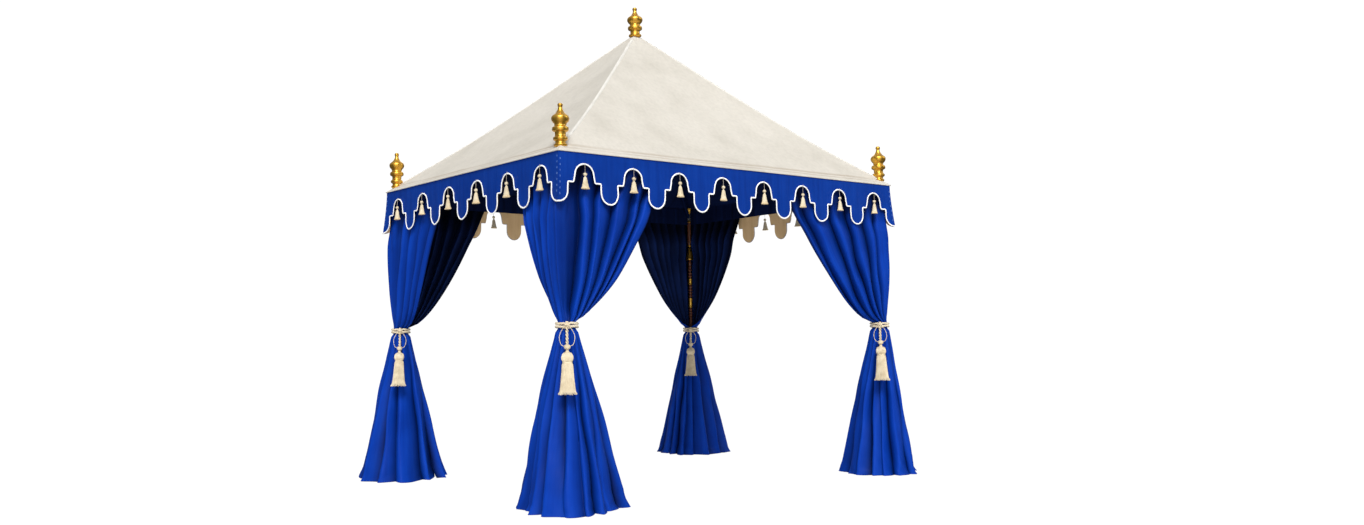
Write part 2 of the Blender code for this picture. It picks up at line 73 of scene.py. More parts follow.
# Camera, from the fit of the corners, finials, ties and feet
IMAGE_WIDTH = 1364
FOCAL_PIXELS = 1154.4
CENTRE_COLUMN = 585
CAMERA_AT = Vector((-6.0823, -7.5665, 1.0957))
CAMERA_YAW = 0.6305
CAMERA_PITCH = 0.0700
CAMERA_ROLL = -0.0126
SENSOR = 36.0


# Meshes

def add_object(name, data):
    item = bpy.data.objects.new(name, data)
    bpy.context.scene.collection.objects.link(item)
    return item


class Shape:
    """Points and faces gathered for one piece."""

    def __init__(self):
        self.points = []
        self.uvs = []
        self.faces = []
        self.marks = []
        self.count = 0

    def add_faces(self, faces, mark=0):
        self.faces += faces
        self.marks += [mark] * len(faces)

    def grid(self, grid, around=False, along=False, caps=False, mark=0, flip=False, uv=None):
        """A skin over rows of points. around closes each row, along joins the last row to the first."""
        grid = np.asarray(grid, float)
        rows, cols = grid.shape[:2]
        index = np.arange(rows * cols).reshape(rows, cols) + self.count
        pairs = np.stack([index, np.roll(index, -1, axis=1)], axis=-1)[:, :cols if around else -1]
        quads = np.concatenate([pairs, np.roll(pairs[..., ::-1], -1, axis=0)], axis=-1)
        quads = quads[:rows if along else -1].reshape(-1, 4)
        self.add_faces(quads[:, ::-1 if flip else 1].tolist(), mark)
        if caps:
            self.add_faces([index[0].tolist()[::-1], index[-1].tolist()], mark)
        self.points.append(grid.reshape(-1, 3))
        self.uvs.append(np.zeros((rows * cols, 2)) if uv is None else np.asarray(uv, float).reshape(-1, 2))
        self.count += rows * cols
        return index

    def tube(self, rings, mark=0):
        """A closed solid over rings, with a flat cap at each end."""
        self.grid(rings, around=True, caps=True, mark=mark)

    def strip(self, first, second, mark=0):
        """Quads between two lines of point numbers."""
        self.add_faces(np.stack([first[:-1], first[1:], second[1:], second[:-1]], axis=-1).tolist(), mark)

    def build(self, name, materials, slot, *nodes, sharp=None):
        """Makes the piece. It rides on the root and stands in for the given nodes. The slot argument is not
        used.
        """
        mesh = bpy.data.meshes.new(name)
        mesh.from_pydata(np.concatenate(self.points).tolist(), [], self.faces)
        for material in materials:
            mesh.materials.append(material)
        mesh.polygons.foreach_set("material_index", np.array(self.marks, np.int32))
        mesh.polygons.foreach_set("use_smooth", np.ones(len(self.faces), bool))
        uvs = np.concatenate(self.uvs)
        if np.any(uvs):
            corners = np.zeros(len(mesh.loops), np.int32)
            mesh.loops.foreach_get("vertex_index", corners)
            layer = mesh.uv_layers.new(name="UVMap")
            layer.data.foreach_set("uv", uvs[corners].astype(np.float32).ravel())
        mesh.update()
        if sharp is not None:
            mesh.set_sharp_from_angle(angle=math.radians(sharp))
        item = add_object(name, mesh)
        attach(item, "root")
        if nodes:
            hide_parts(*nodes)
        return item


def unit(vectors):
    return vectors / np.maximum(np.linalg.norm(vectors, axis=-1, keepdims=True), 1e-12)


def cloth_skin(shape, outer, thickness, uv, outward, inner_mark=0):
    """A closed thin cloth: the given outer face, an inner face, and the four edges."""
    normal = unit(np.cross(np.gradient(outer, axis=1), np.gradient(outer, axis=0)))
    rows, cols = normal.shape[:2]
    turned = float(np.dot(normal[rows // 2, cols // 2], outward)) < 0
    if turned:
        normal = -normal
    a = shape.grid(outer, uv=uv, flip=not turned)
    b = shape.grid(outer - normal * thickness, mark=inner_mark, uv=uv, flip=turned)
    for first, second in ((a[0], b[0]), (b[-1], a[-1]), (b[:, 0], a[:, 0]), (a[:, -1], b[:, -1])):
        if turned:
            first, second = second, first
        shape.strip(second, first)


def closed(line):
    """The line with its first point number once more at its end."""
    return np.append(line, line[0])


def whole_turn(count):
    """Angles all the way round, the start not repeated."""
    return np.linspace(0, 2 * math.pi, count, endpoint=False)


def smooth_step(value, low, high):
    part = np.clip((value - low) / (high - low), 0, 1)
    return part * part * (3 - 2 * part)


def ripple(seed, x, y, reach_x, reach_y, count=7):
    """Smooth made-up unevenness, about -1 to 1, with features of about the given reach."""
    draw = np.random.default_rng(seed)
    total = np.zeros(np.broadcast(x, y).shape)
    for _ in range(count):
        turn_x = draw.uniform(0.4, 1.4) * 2 * math.pi / reach_x * draw.choice((-1, 1))
        turn_y = draw.uniform(0.3, 1.3) * 2 * math.pi / reach_y
        total = total + np.sin(turn_x * x + turn_y * y + draw.uniform(0, 2 * math.pi))
    return total / math.sqrt(count) / 1.2


def lathe(profile, sides, centre=(0, 0), flat=1.0, ridges=0, ridge=0.0):
    """Rings of a turned shape. The profile is (radius, height), flat squeezes it along Y."""
    profile = np.asarray(profile, float)
    angle = whole_turn(sides)
    radius = profile[:, 0:1] * (1 + ridge * np.cos(ridges * angle))
    x = centre[0] + radius * np.cos(angle)
    y = centre[1] + flat * radius * np.sin(angle)
    z = np.repeat(profile[:, 1:2], sides, axis=1)
    return np.stack([x, y, z], axis=-1)


def rounded(profile, times=2):
    """Cuts the corners of a profile, keeping its ends."""
    line = [np.array(point, float) for point in profile]
    for _ in range(times):
        smooth = [line[0]]
        for before, after in zip(line[:-1], line[1:]):
            smooth += [before * 0.75 + after * 0.25, before * 0.25 + after * 0.75]
        smooth.append(line[-1])
        line = smooth
    return np.array(line)


# How sharply the grooves of a twisted rope are cut
GROOVE_POWER = 0.7


def sweep(path, radius, sides, up, joined=False, strands=0, depth=0.2, turns=0.0, tall=1.0):
    """Rings of a cord along a planar path. strands gives it the grooves of a twisted rope."""
    path = np.asarray(path, float)
    if joined:
        along = np.roll(path, -1, axis=0) - np.roll(path, 1, axis=0)
        step = np.linalg.norm(np.roll(path, -1, axis=0) - path, axis=1)
    else:
        along = np.gradient(path, axis=0)
        step = np.linalg.norm(np.diff(path, axis=0, append=path[-1:]), axis=1)
    along = unit(along)
    up = np.broadcast_to(np.asarray(up, float), path.shape)
    up = unit(up - along * np.sum(up * along, axis=1, keepdims=True))
    side = np.cross(along, up)
    angle = whole_turn(sides)
    radius = np.full((len(path), sides), radius)
    if strands:
        run = np.concatenate([[0], np.cumsum(step)[:-1]])
        turned = angle - 2 * math.pi * turns * (run / (run[-1] + step[-1]))[:, None]
        radius = radius * (1 - depth + depth * np.abs(np.cos(strands / 2 * turned)) ** GROOVE_POWER)
    ring = (radius * np.cos(angle))[..., None] * side[:, None, :]
    ring = ring + tall * (radius * np.sin(angle))[..., None] * up[:, None, :]
    return path[:, None, :] + ring


def spline(points, count):
    """A smooth curve through a few points."""
    points = np.asarray(points, float)
    ends = np.vstack([2 * points[0] - points[1], points, 2 * points[-1] - points[-2]])
    line = []
    spans = len(points) - 1
    for k in range(count):
        place = spans * k / (count - 1)
        span = min(int(place), spans - 1)
        t = place - span
        p0, p1, p2, p3 = ends[span:span + 4]
        line.append(0.5 * (2 * p1 + (p2 - p0) * t + (2 * p0 - 5 * p1 + 4 * p2 - p3) * t * t
                           + (3 * p1 - p0 - 3 * p2 + p3) * t ** 3))
    return np.array(line)


def side_place(side):
    """How far a side's outer plane is from the middle, half its length, and its turn."""
    return {
        "front": (HALF_Y, HALF_X, 0.0),
        "right": (HALF_X, HALF_Y, math.pi / 2),
        "back": (HALF_Y, HALF_X, math.pi),
        "left": (HALF_X, HALF_Y, -math.pi / 2),
    }[side]


def side_outward(side):
    """The direction that a side faces."""
    turn = side_place(side)[2]
    return np.array([math.sin(turn), -math.cos(turn), 0.0])


def to_side(points, side):
    """Local points of a side (x along it, y inward from its outer plane) turned into place."""
    out, _, turn = side_place(side)
    x = points[..., 0]
    y = points[..., 1] - out
    c, s = math.cos(turn), math.sin(turn)
    return np.stack([c * x - s * y, s * x + c * y, points[..., 2]], axis=-1)


# Materials

CLOTH_GLOSS = 0.06


class Nodes:
    """A node tree, with short helpers for its nodes."""

    def __init__(self, tree):
        self.tree = tree

    def node(self, kind, inputs=None, **settings):
        """A new node with its settings and its inputs, by name or number."""
        made = self.tree.nodes.new(kind)
        for key, value in settings.items():
            setattr(made, key, value)
        for key, value in (inputs or {}).items():
            self.put(made.inputs[key], value)
        return made

    def put(self, socket, value):
        """Links another node's socket, or sets a number or a colour."""
        if isinstance(value, bpy.types.NodeSocket):
            self.tree.links.new(value, socket)
            return
        if socket.type == "RGBA":
            value = (*value, 1.0)
        socket.default_value = value

    def stretch(self, vector, scale):
        return self.node("ShaderNodeMapping", {"Vector": vector, "Scale": scale}).outputs["Vector"]

    def noise(self, vector, scale, detail=3.0, rough=0.55, distortion=0.0):
        inputs = {"Vector": vector, "Scale": scale, "Detail": detail, "Roughness": rough,
                  "Distortion": distortion}
        return self.node("ShaderNodeTexNoise", inputs).outputs["Fac"]

    def ramp(self, value, stops):
        made = self.node("ShaderNodeValToRGB", {"Fac": value})
        ramp = made.color_ramp
        while len(ramp.elements) < len(stops):
            ramp.elements.new(0.5)
        for element, (place, colour) in zip(ramp.elements, stops):
            element.position = place
            if not isinstance(colour, tuple):
                colour = (colour, colour, colour)
            element.color = (*colour, 1.0)
        return made.outputs["Color"]

    def mix(self, factor, first, second, blend="MIX"):
        inputs = {0: factor, 6: first, 7: second}
        return self.node("ShaderNodeMix", inputs, data_type="RGBA", blend_type=blend).outputs[2]

    def maths(self, operation, first, second=0.5):
        return self.node("ShaderNodeMath", {0: first, 1: second}, operation=operation).outputs[0]

    def blend(self, first, share, second, rest):
        """A weighted sum of two values."""
        return self.maths("ADD", self.maths("MULTIPLY", first, share), self.maths("MULTIPLY", second, rest))

    def split(self, vector):
        return self.node("ShaderNodeSeparateXYZ", {0: vector}).outputs


class Finish(Nodes):
    """A material and its shader."""

    def __init__(self, name, roughness, metallic=0.0):
        self.material = bpy.data.materials.new(name)
        self.material.use_nodes = True
        super().__init__(self.material.node_tree)
        self.shader = self.tree.nodes["Principled BSDF"]
        self.set(Roughness=roughness, Metallic=metallic)
        if metallic == 0:
            self.set(Specular_IOR_Level=CLOTH_GLOSS)
        coords = self.node("ShaderNodeTexCoord").outputs
        self.object = coords["Object"]
        self.uv = coords["UV"]
        self.normal = None

    def set(self, **values):
        """Values of the shader's sockets, with _ for a space in a name."""
        for name, value in values.items():
            self.put(self.shader.inputs[name.replace("_", " ")], value)

    def add_bump(self, height, distance, strength=1.0):
        made = self.node("ShaderNodeBump", {"Strength": strength, "Distance": distance, "Height": height})
        if self.normal is not None:
            self.put(made.inputs["Normal"], self.normal)
        self.normal = made.outputs["Normal"]
        self.set(Normal=self.normal)

    def colour(self, value):
        self.set(Base_Color=value)

    def rough(self, value):
        self.set(Roughness=value)

    def sheen(self, weight, roughness, tint):
        self.set(Sheen_Weight=weight, Sheen_Roughness=roughness, Sheen_Tint=tint)

    def coat(self, weight, roughness):
        self.set(Coat_Weight=weight, Coat_Roughness=roughness)


def make_canvas():
    """Heavy cream cotton with faint mottling, packing creases and painted brownish shade along two folds
    above the hem.
    """
    f = Finish("canvas", 0.86)
    mottle = f.noise(f.object, 2.2, 5.0, 0.6)
    base = f.ramp(mottle, [(0.30, (0.52, 0.492, 0.438)), (0.52, (0.585, 0.556, 0.502)),
                           (0.75, (0.635, 0.606, 0.553))])
    speck = f.ramp(f.noise(f.object, 34.0, 2.0, 0.5), [(0.30, 0.93), (0.62, 1.0)])
    base = f.mix(1.0, base, speck, "MULTIPLY")
    # Painted shade along two folds above the hem: brownish bands at set heights up the roof, their strength
    # broken up in patches
    up = f.split(f.uv)[1]
    uneven = f.noise(f.object, 3.2, 3.0, 0.6)
    shifted = f.maths("ADD", up, f.maths("MULTIPLY", f.maths("SUBTRACT", uneven, 0.5), 0.010))
    low_fold_shade = f.ramp(shifted, [(0.0125, 0.0), (0.0165, 1.0), (0.021, 0.0)])
    high_fold_shade = f.ramp(shifted, [(0.034, 0.0), (0.040, 1.0), (0.052, 0.0)])
    patch = f.ramp(f.noise(f.object, 1.7, 2.0, 0.5), [(0.35, 0.25), (0.60, 1.0)])
    lines = f.maths("MAXIMUM", f.maths("MULTIPLY", low_fold_shade, 0.75), f.maths("MULTIPLY", high_fold_shade, 0.62))
    base = f.mix(f.maths("MULTIPLY", lines, patch), base, (0.30, 0.225, 0.155))
    f.colour(base)
    f.rough(f.ramp(mottle, [(0.3, 0.80), (0.7, 0.92)]))
    f.sheen(0.12, 0.5, (1.0, 0.97, 0.90))
    f.add_bump(f.noise(f.object, 5.0, 6.0, 0.62, 0.6), 0.006, 0.5)
    crease = f.noise(f.object, 1.6, 4.0, 0.75, 2.2)
    f.add_bump(f.ramp(crease, [(0.47, 1.0), (0.50, 0.0), (0.53, 1.0)]), 0.0012, 0.35)
    f.add_bump(f.noise(f.object, 420.0, 2.0, 0.5), 0.0006, 0.5)
    return f.material


def make_cloth(name, dark, plain, light, sheen_tint, sheen=0.25, roughness=0.62, hollow_shade=None):
    """Cotton sateen: fine weave and soft streaks along the cloth.

    Given tones for a crest, halfway and a valley, it paints shade into the hollows of gathered cloth from the
    fold attribute, and paints the shade under the valance near the top.
    """
    f = Finish(name, roughness)
    streak = f.noise(f.stretch(f.uv, (9.0, 0.55, 1.0)), 2.2, 4.0, 0.6)
    cloud = f.noise(f.object, 2.6, 3.0, 0.6)
    tone = f.blend(streak, 0.55, cloud, 0.45)
    base = f.ramp(tone, [(0.32, dark), (0.50, plain), (0.70, light)])
    if hollow_shade:
        # Painted shade in the hollows of the folds, read from the fold attribute
        fold = f.node("ShaderNodeAttribute", attribute_name="fold").outputs["Fac"]
        base = f.mix(1.0, base, f.ramp(fold, list(zip((0.0, 0.5, 1.0), hollow_shade))), "MULTIPLY")
        # Painted shade under the valance: the cloth darkens to 0.30 of its colour from 2.065 m up to 2.2 m
        # high
        shade = f.ramp(f.maths("DIVIDE", f.split(f.object)[2], 2.5), [(0.826, 1.0), (0.880, 0.30)])
        base = f.mix(1.0, base, shade, "MULTIPLY")
    f.colour(base)
    f.rough(f.ramp(f.noise(f.object, 14.0, 3.0, 0.6), [(0.3, roughness - 0.07), (0.7, roughness + 0.09)]))
    f.sheen(sheen, 0.35, sheen_tint)
    f.add_bump(f.noise(f.stretch(f.uv, (26.0, 3.0, 1.0)), 1.6, 4.0, 0.6, 0.5), 0.0035, 0.5)
    f.add_bump(f.noise(f.object, 24.0, 4.0, 0.6, 0.4), 0.0016, 0.5)
    f.add_bump(f.noise(f.object, 700.0, 2.0, 0.5), 0.0005, 0.45)
    return f.material


def make_thread(name, dark, light, roughness=0.75, sheen=0.2):
    """Twisted cotton yarn."""
    f = Finish(name, roughness)
    tone = f.noise(f.object, 22.0, 4.0, 0.6)
    fine = f.noise(f.object, 300.0, 2.0, 0.6)
    f.colour(f.ramp(f.blend(tone, 0.6, fine, 0.4), [(0.36, dark), (0.62, light)]))
    f.sheen(sheen, 0.4, (1.0, 0.95, 0.85))
    f.add_bump(f.noise(f.object, 420.0, 3.0, 0.6), 0.0012, 0.6)
    return f.material


def make_gold():
    """Gold leaf over turned wood: warm, a little worn, with darker flecks."""
    f = Finish("gold_leaf", 0.34, 1.0)
    worn = f.noise(f.object, 16.0, 5.0, 0.6)
    fine = f.noise(f.object, 90.0, 3.0, 0.6)
    base = f.ramp(worn, [(0.28, (0.66, 0.34, 0.035)), (0.52, (0.80, 0.45, 0.06)),
                         (0.76, (0.88, 0.54, 0.095))])
    f.colour(f.mix(f.ramp(fine, [(0.30, 0.35), (0.42, 0.0)]), base, (0.45, 0.19, 0.02)))
    f.rough(f.ramp(fine, [(0.30, 0.48), (0.62, 0.30)]))
    f.coat(0.25, 0.18)
    f.add_bump(f.noise(f.object, 60.0, 4.0, 0.6), 0.0004, 0.5)
    return f.material


def make_wood():
    """Varnished mahogany, its grain along the post."""
    f = Finish("dark_wood", 0.38)
    f.set(Specular_IOR_Level=0.5)
    grain = f.noise(f.stretch(f.object, (1.0, 1.0, 0.06)), 150.0, 5.0, 0.65, 0.6)
    broad = f.noise(f.stretch(f.object, (1.0, 1.0, 0.15)), 22.0, 3.0, 0.6)
    f.colour(f.ramp(f.blend(grain, 0.6, broad, 0.4), [(0.33, (0.030, 0.008, 0.004)),
                                                      (0.50, (0.105, 0.030, 0.012)),
                                                      (0.68, (0.20, 0.070, 0.028))]))
    f.rough(f.ramp(grain, [(0.3, 0.48), (0.7, 0.28)]))
    f.coat(0.35, 0.2)
    f.add_bump(grain, 0.0006, 0.6)
    return f.material


def make_steel():
    """Grey paint over a cast bracket, scuffed to metal in places."""
    f = Finish("frame_metal", 0.5, 0.6)
    wear = f.noise(f.object, 38.0, 5.0, 0.65)
    f.colour(f.ramp(wear, [(0.35, (0.10, 0.10, 0.105)), (0.60, (0.20, 0.20, 0.205)),
                           (0.68, (0.45, 0.44, 0.42))]))
    f.rough(f.ramp(wear, [(0.35, 0.58), (0.68, 0.34)]))
    f.add_bump(f.noise(f.object, 180.0, 3.0, 0.6), 0.0008, 0.6)
    return f.material


def make_seam_cloth():
    """The lighter tape over the hips and round the finials' holes."""
    f = Finish("seam_tape", 0.8)
    tone = f.noise(f.object, 12.0, 4.0, 0.6)
    f.colour(f.ramp(tone, [(0.3, (0.66, 0.64, 0.60)), (0.7, (0.74, 0.725, 0.69))]))
    f.add_bump(f.noise(f.object, 260.0, 3.0, 0.6), 0.0008, 0.6)
    return f.material


canvas = make_canvas()
blue = make_cloth("blue_cloth", (0.0008, 0.023, 0.195), (0.0014, 0.032, 0.255), (0.0032, 0.043, 0.310),
                  (0.05, 0.22, 1.0), 0.06, 0.55)
# The curtains' blue and lining carry painted shade in the hollows of their folds and under the valance. On
# the lining the darkest tone falls on the outer crests, which are its hollows
curtain_blue_painted_shade = make_cloth("curtain_blue_painted_shade", (0.0008, 0.026, 0.255), (0.0014, 0.037, 0.335),
                          (0.0032, 0.050, 0.405), (0.05, 0.22, 1.0), 0.06, 0.55, (1.0, 0.56, 0.15))
navy = make_cloth("navy_lining", (0.0012, 0.0040, 0.020), (0.0030, 0.0085, 0.044), (0.0060, 0.020, 0.105),
                  (0.02, 0.05, 0.25), 0.02, 0.8)
curtain_navy_painted_shade = make_cloth("curtain_lining_painted_shade", (0.0026, 0.0088, 0.042), (0.0060, 0.0175, 0.087),
                          (0.0100, 0.032, 0.165), (0.02, 0.05, 0.25), 0.02, 0.8, (0.28, 0.60, 1.0))
# The valance's lining is cream canvas; this warm tan paints in its shade and the light that comes through the
# cloth
lining_painted_light = make_cloth("lining_painted_shade_and_light", (0.83, 0.55, 0.275), (0.93, 0.64, 0.34), (0.98, 0.71, 0.40),
                 (1.0, 0.85, 0.6), 0.08, 0.8)
piping_thread = make_thread("white_piping", (0.91, 0.91, 0.895), (0.98, 0.98, 0.97), 0.65, 0.0)
cream = make_thread("cream_cord", (0.56, 0.455, 0.30), (0.76, 0.67, 0.50))
cream_tips = make_thread("fringe_tips", (0.58, 0.43, 0.24), (0.80, 0.66, 0.44))
string = make_thread("grey_string", (0.25, 0.22, 0.20), (0.45, 0.41, 0.37))
seam_thread = make_thread("pale_blue_stitches", (0.10, 0.22, 0.60), (0.22, 0.38, 0.78))
gold = make_gold()
wood = make_wood()
steel = make_steel()
seam_cloth = make_seam_cloth()


# Roof

# Rise from the eaves to the apex, the hips' sag as shares of that rise, and the panels' further sag
RISE = 1.325
ROOF_SAG_MIDDLE = 0.030
ROOF_SAG_EAVE = 0.005
PANEL_SAG = 0.035
CEILING_DROP = 0.0090
CEILING_THICK = 0.0015

# Levels on the roof, as shares of the way from the eaves to the apex
CROWN_HALF = 0.030
CROWN_UP = 1 - CROWN_HALF / HALF_Y
OVERHANG_UP = -0.0045
HEM_UP = 0.030

# Unevenness of the canvas: slack, fine slack, pulls from the corners, the hem and the dips beside it
SLACK = 0.0045
FINE_SLACK = 0.0016
CORNER_PULL = 0.0035
HEM_RAISED = 0.0016
HEM_DIP = 0.0030
LOW_DIP = 0.0014


def roof_z(x, y):
    """Top of the canvas: a pyramid whose hips and panels sag a little."""
    along = np.abs(x) / HALF_X
    across = np.abs(y) / HALF_Y
    ring = np.maximum(along, across)
    up = 1 - ring
    height = up - ROOF_SAG_MIDDLE * np.sin(math.pi * up) - ROOF_SAG_EAVE * np.sin(2 * math.pi * up)
    offside = np.minimum(along, across) / np.maximum(ring, 1e-6)
    panel = PANEL_SAG * np.sin(math.pi * np.clip(up / CROWN_UP, 0, 1)) * (1 - offside ** 2)
    return EAVE + RISE * height - panel


def roof_line(up, long_steps, short_steps):
    """Plan points of one rectangle round the roof, and their share round it, from the front left corner."""
    corners = np.array([(-1, -1), (1, -1), (1, 1), (-1, 1)], float)
    points = []
    share = []
    for side, steps in enumerate((long_steps, short_steps, long_steps, short_steps)):
        part = 0.5 - 0.5 * np.cos(math.pi * np.linspace(0, 1, steps, endpoint=False))
        start, end = corners[side], corners[(side + 1) % 4]
        points.append(start + (end - start) * part[:, None])
        share.append(side + part)
    plan = np.concatenate(points) * (1 - up) * np.array([HALF_X, HALF_Y])
    return plan, np.concatenate(share)


def roof_skin(levels, long_steps, short_steps, drop=0.0, wrinkled=False):
    """Rows of points round the roof at the given levels, and their mapping."""
    grid = []
    uv = []
    for up in levels:
        plan, share = roof_line(up, long_steps, short_steps)
        x, y = plan[:, 0], plan[:, 1]
        z = roof_z(x, y) - drop
        if wrinkled:
            z = z + roof_wrinkles(x, y, up)
        grid.append(np.stack([x, y, z], axis=-1))
        uv.append(np.stack([share, np.full(len(share), max(up, 0.0001))], axis=-1))
    return np.array(grid), np.array(uv)


def roof_wrinkles(x, y, up):
    """Slack in the panels, pulls that fan out from the corners, and the turned hem."""
    along = np.abs(x) / HALF_X
    across = np.abs(y) / HALF_Y
    ring = np.maximum(np.maximum(along, across), 1e-6)
    offside = np.minimum(along, across) / ring
    height = min(1.0, max(0.0, up) / CROWN_UP)
    inside = np.clip((1 - offside) / 0.25, 0, 1) * math.sin(math.pi * height) ** 0.5
    slack = SLACK * ripple(11, x, y, 1.1, 1.0) + FINE_SLACK * ripple(12, x, y, 0.34, 0.30)
    corner_x = HALF_X - np.abs(x)
    corner_y = HALF_Y - np.abs(y)
    reach = np.hypot(corner_x, corner_y)
    fan = np.arctan2(corner_y, corner_x)
    pull = CORNER_PULL * np.sin(17 * fan + 2.2 * np.sign(x) + 1.3 * np.sign(y)) * np.exp(-reach / 0.55)
    pull = pull * np.clip(reach / 0.12, 0, 1)
    hem = HEM_RAISED * np.clip((HEM_UP - up) / 0.004, 0, 1)
    dip = HEM_DIP * math.exp(-((up - HEM_UP - 0.008) / 0.006) ** 2)
    low_dip = LOW_DIP * math.exp(-((up - 0.0165) / 0.003) ** 2)
    return (slack + pull) * inside + hem - dip - low_dip


ROOF_THICK = 0.0025
LOW_LEVELS = 34

# Drops of the inner face's first rows, where the cloth is rolled under
EDGE_ROLL = (0.008, 0.008, 0.006)


def add_roof():
    levels = np.concatenate([np.linspace(OVERHANG_UP, 0.06, LOW_LEVELS),
                             np.linspace(0.07, CROWN_UP - 0.004, 52), [CROWN_UP]])
    outer, uv = roof_skin(levels, 64, 48, wrinkled=True)
    last = len(levels) - 1
    inner_rows = [*range(LOW_LEVELS), *range(LOW_LEVELS, last, 2), last]
    inner = outer[inner_rows]
    inner[..., 2] -= ROOF_THICK
    inner[:3, :, 2] = outer[:3, :, 2] - np.array(EDGE_ROLL)[:, None]
    shape = Shape()
    a = shape.grid(outer, around=True, uv=uv)
    b = shape.grid(inner, around=True, uv=uv[inner_rows], flip=True)
    lip = (outer[0] + inner[0]) / 2
    lip[:, :2] *= 1.0016
    middle = shape.grid(lip[None], uv=uv[:1])[0]
    shape.strip(closed(middle), closed(a[0]))
    shape.strip(closed(b[0]), closed(middle))
    shape.add_faces([a[-1].tolist(), b[-1].tolist()[::-1]])
    item = shape.build("roof_canvas", [canvas], "canvas", "roof_canopy")


def add_ceiling():
    """The dark lining under the canvas."""
    levels = np.concatenate([np.linspace(0.004, 0.05, 8), np.linspace(0.07, CROWN_UP - 0.01, 24)])
    outer, _ = roof_skin(levels, 40, 30, drop=CEILING_DROP)
    outer[..., 2] -= 0.0012 * np.abs(ripple(31, outer[..., 0], outer[..., 1], 0.5, 0.4))
    shape = Shape()
    a = shape.grid(outer, around=True, uv=outer[..., :2])
    b = shape.grid(outer - np.array([0, 0, CEILING_THICK]), around=True, uv=outer[..., :2], flip=True)
    shape.strip(closed(b[0]), closed(a[0]))
    shape.strip(closed(a[-1]), closed(b[-1]))
    item = shape.build("ceiling_cloth", [navy], "navy_lining", "ceiling_lining")


def hip_line(sign_x, sign_y, ups, lift, shift):
    """A line over a hip, moved sideways across it."""
    plan = (1 - ups)[:, None] * np.array([sign_x * HALF_X, sign_y * HALF_Y])
    across = unit(np.array([-sign_x * HALF_Y, sign_y * HALF_X]))
    aside = plan + across * shift
    height = np.minimum(roof_z(*plan.T), roof_z(*aside.T) + abs(shift) * 0.10) + lift
    return np.column_stack([aside, height])


# The hips' seam tape: half its width, how far it stands up, and the radius of its two rows of piping
TAPE_HALF = 0.007
TAPE_LIFT = 0.0030
TAPE_PIPING = 0.0022


def add_hip_seams():
    """The piped double seam that runs up every hip."""
    shape = Shape()
    section = ((-TAPE_HALF - 0.003, -0.001), (-TAPE_HALF, TAPE_LIFT), (0.0, TAPE_LIFT + 0.0012),
               (TAPE_HALF, TAPE_LIFT), (TAPE_HALF + 0.003, -0.001))
    ups = np.linspace(0.052, CROWN_UP - 0.022, 90)
    for sign_x, sign_y, *_ in CORNERS.values():
        wobble = 0.0006 * np.sin(41 * ups * 6.28 + sign_x)
        lines = [hip_line(sign_x, sign_y, ups, height + wobble, shift) for shift, height in section]
        shape.grid(np.stack(lines, axis=1), flip=sign_x * sign_y > 0)
        across = np.array([-sign_y * HALF_Y, sign_x * HALF_X, 0])
        for shift in (-TAPE_HALF, TAPE_HALF):
            path = hip_line(sign_x, sign_y, ups, TAPE_LIFT + 0.0014, shift)
            shape.tube(sweep(path, TAPE_PIPING, 8, np.cross(np.gradient(path, axis=0), across)))
    shape.build("hip_seams", [seam_cloth], "canvas", sharp=40)


CUFF_RADIUS = 0.0385


def add_finial_cuffs():
    """The stitched canvas ring round the hole that each corner finial stands in."""
    shape = Shape()
    angle = whole_turn(48)
    for sign_x, sign_y, *_ in CORNERS.values():
        x = sign_x * POST_X + CUFF_RADIUS * np.cos(angle)
        y = sign_y * POST_Y + CUFF_RADIUS * np.sin(angle)
        path = np.stack([x, y, roof_z(x, y) + 0.001], axis=-1)
        shape.grid(sweep(path, 0.0030, 10, (0, 0, 1), joined=True), around=True, along=True)
    shape.build("finial_cuffs", [seam_cloth], "canvas")


# Valances

DROP = 0.35

# Outline of a scallop: widths as shares of its pitch, depths as shares of the drop
LOBE_HALF = 0.175
ARCH_HALF = 0.212
ARCH_UPRIGHT = 0.38
CROWN_AT = 0.235
SHOULDER_AT = 0.60
LOBE_STRAIGHT_TO = 0.78
VALANCE_TOP = EAVE - CANVAS - 0.0003

# How far the piping passes a corner, and how far the lobes stand out there
CORNER_REACH = 0.004
CORNER_KICK = 0.026

# How far the loose cloth waves: over a long and a short reach, with the scallops, and in creases
LONG_WAVE = 0.0055
SHORT_WAVE = 0.0028
LOBE_WAVE = 0.004
CREASE_WAVE = 0.0009

# The cloth, and its inner face with its distance inward and its edge's height above the cloth's
VALANCE_THICK = 0.0015
VALANCE_LINING_THICK = 0.0014
VALANCE_LINING_INSET = 0.0022
VALANCE_LINING_SHORT = 0.003

# The piping: radius, flatness, how far it stands out of the cloth and above its edge, and its points' step
PIPING_RADIUS = 0.0056
PIPING_FLAT = 0.62
PIPING_OUT = 0.0028
PIPING_UP = 0.0035
PIPING_STEP = 0.0072


def scallop_count(half):
    """How many scallops a side of the given half length has."""
    return round(2 * half / PITCH)


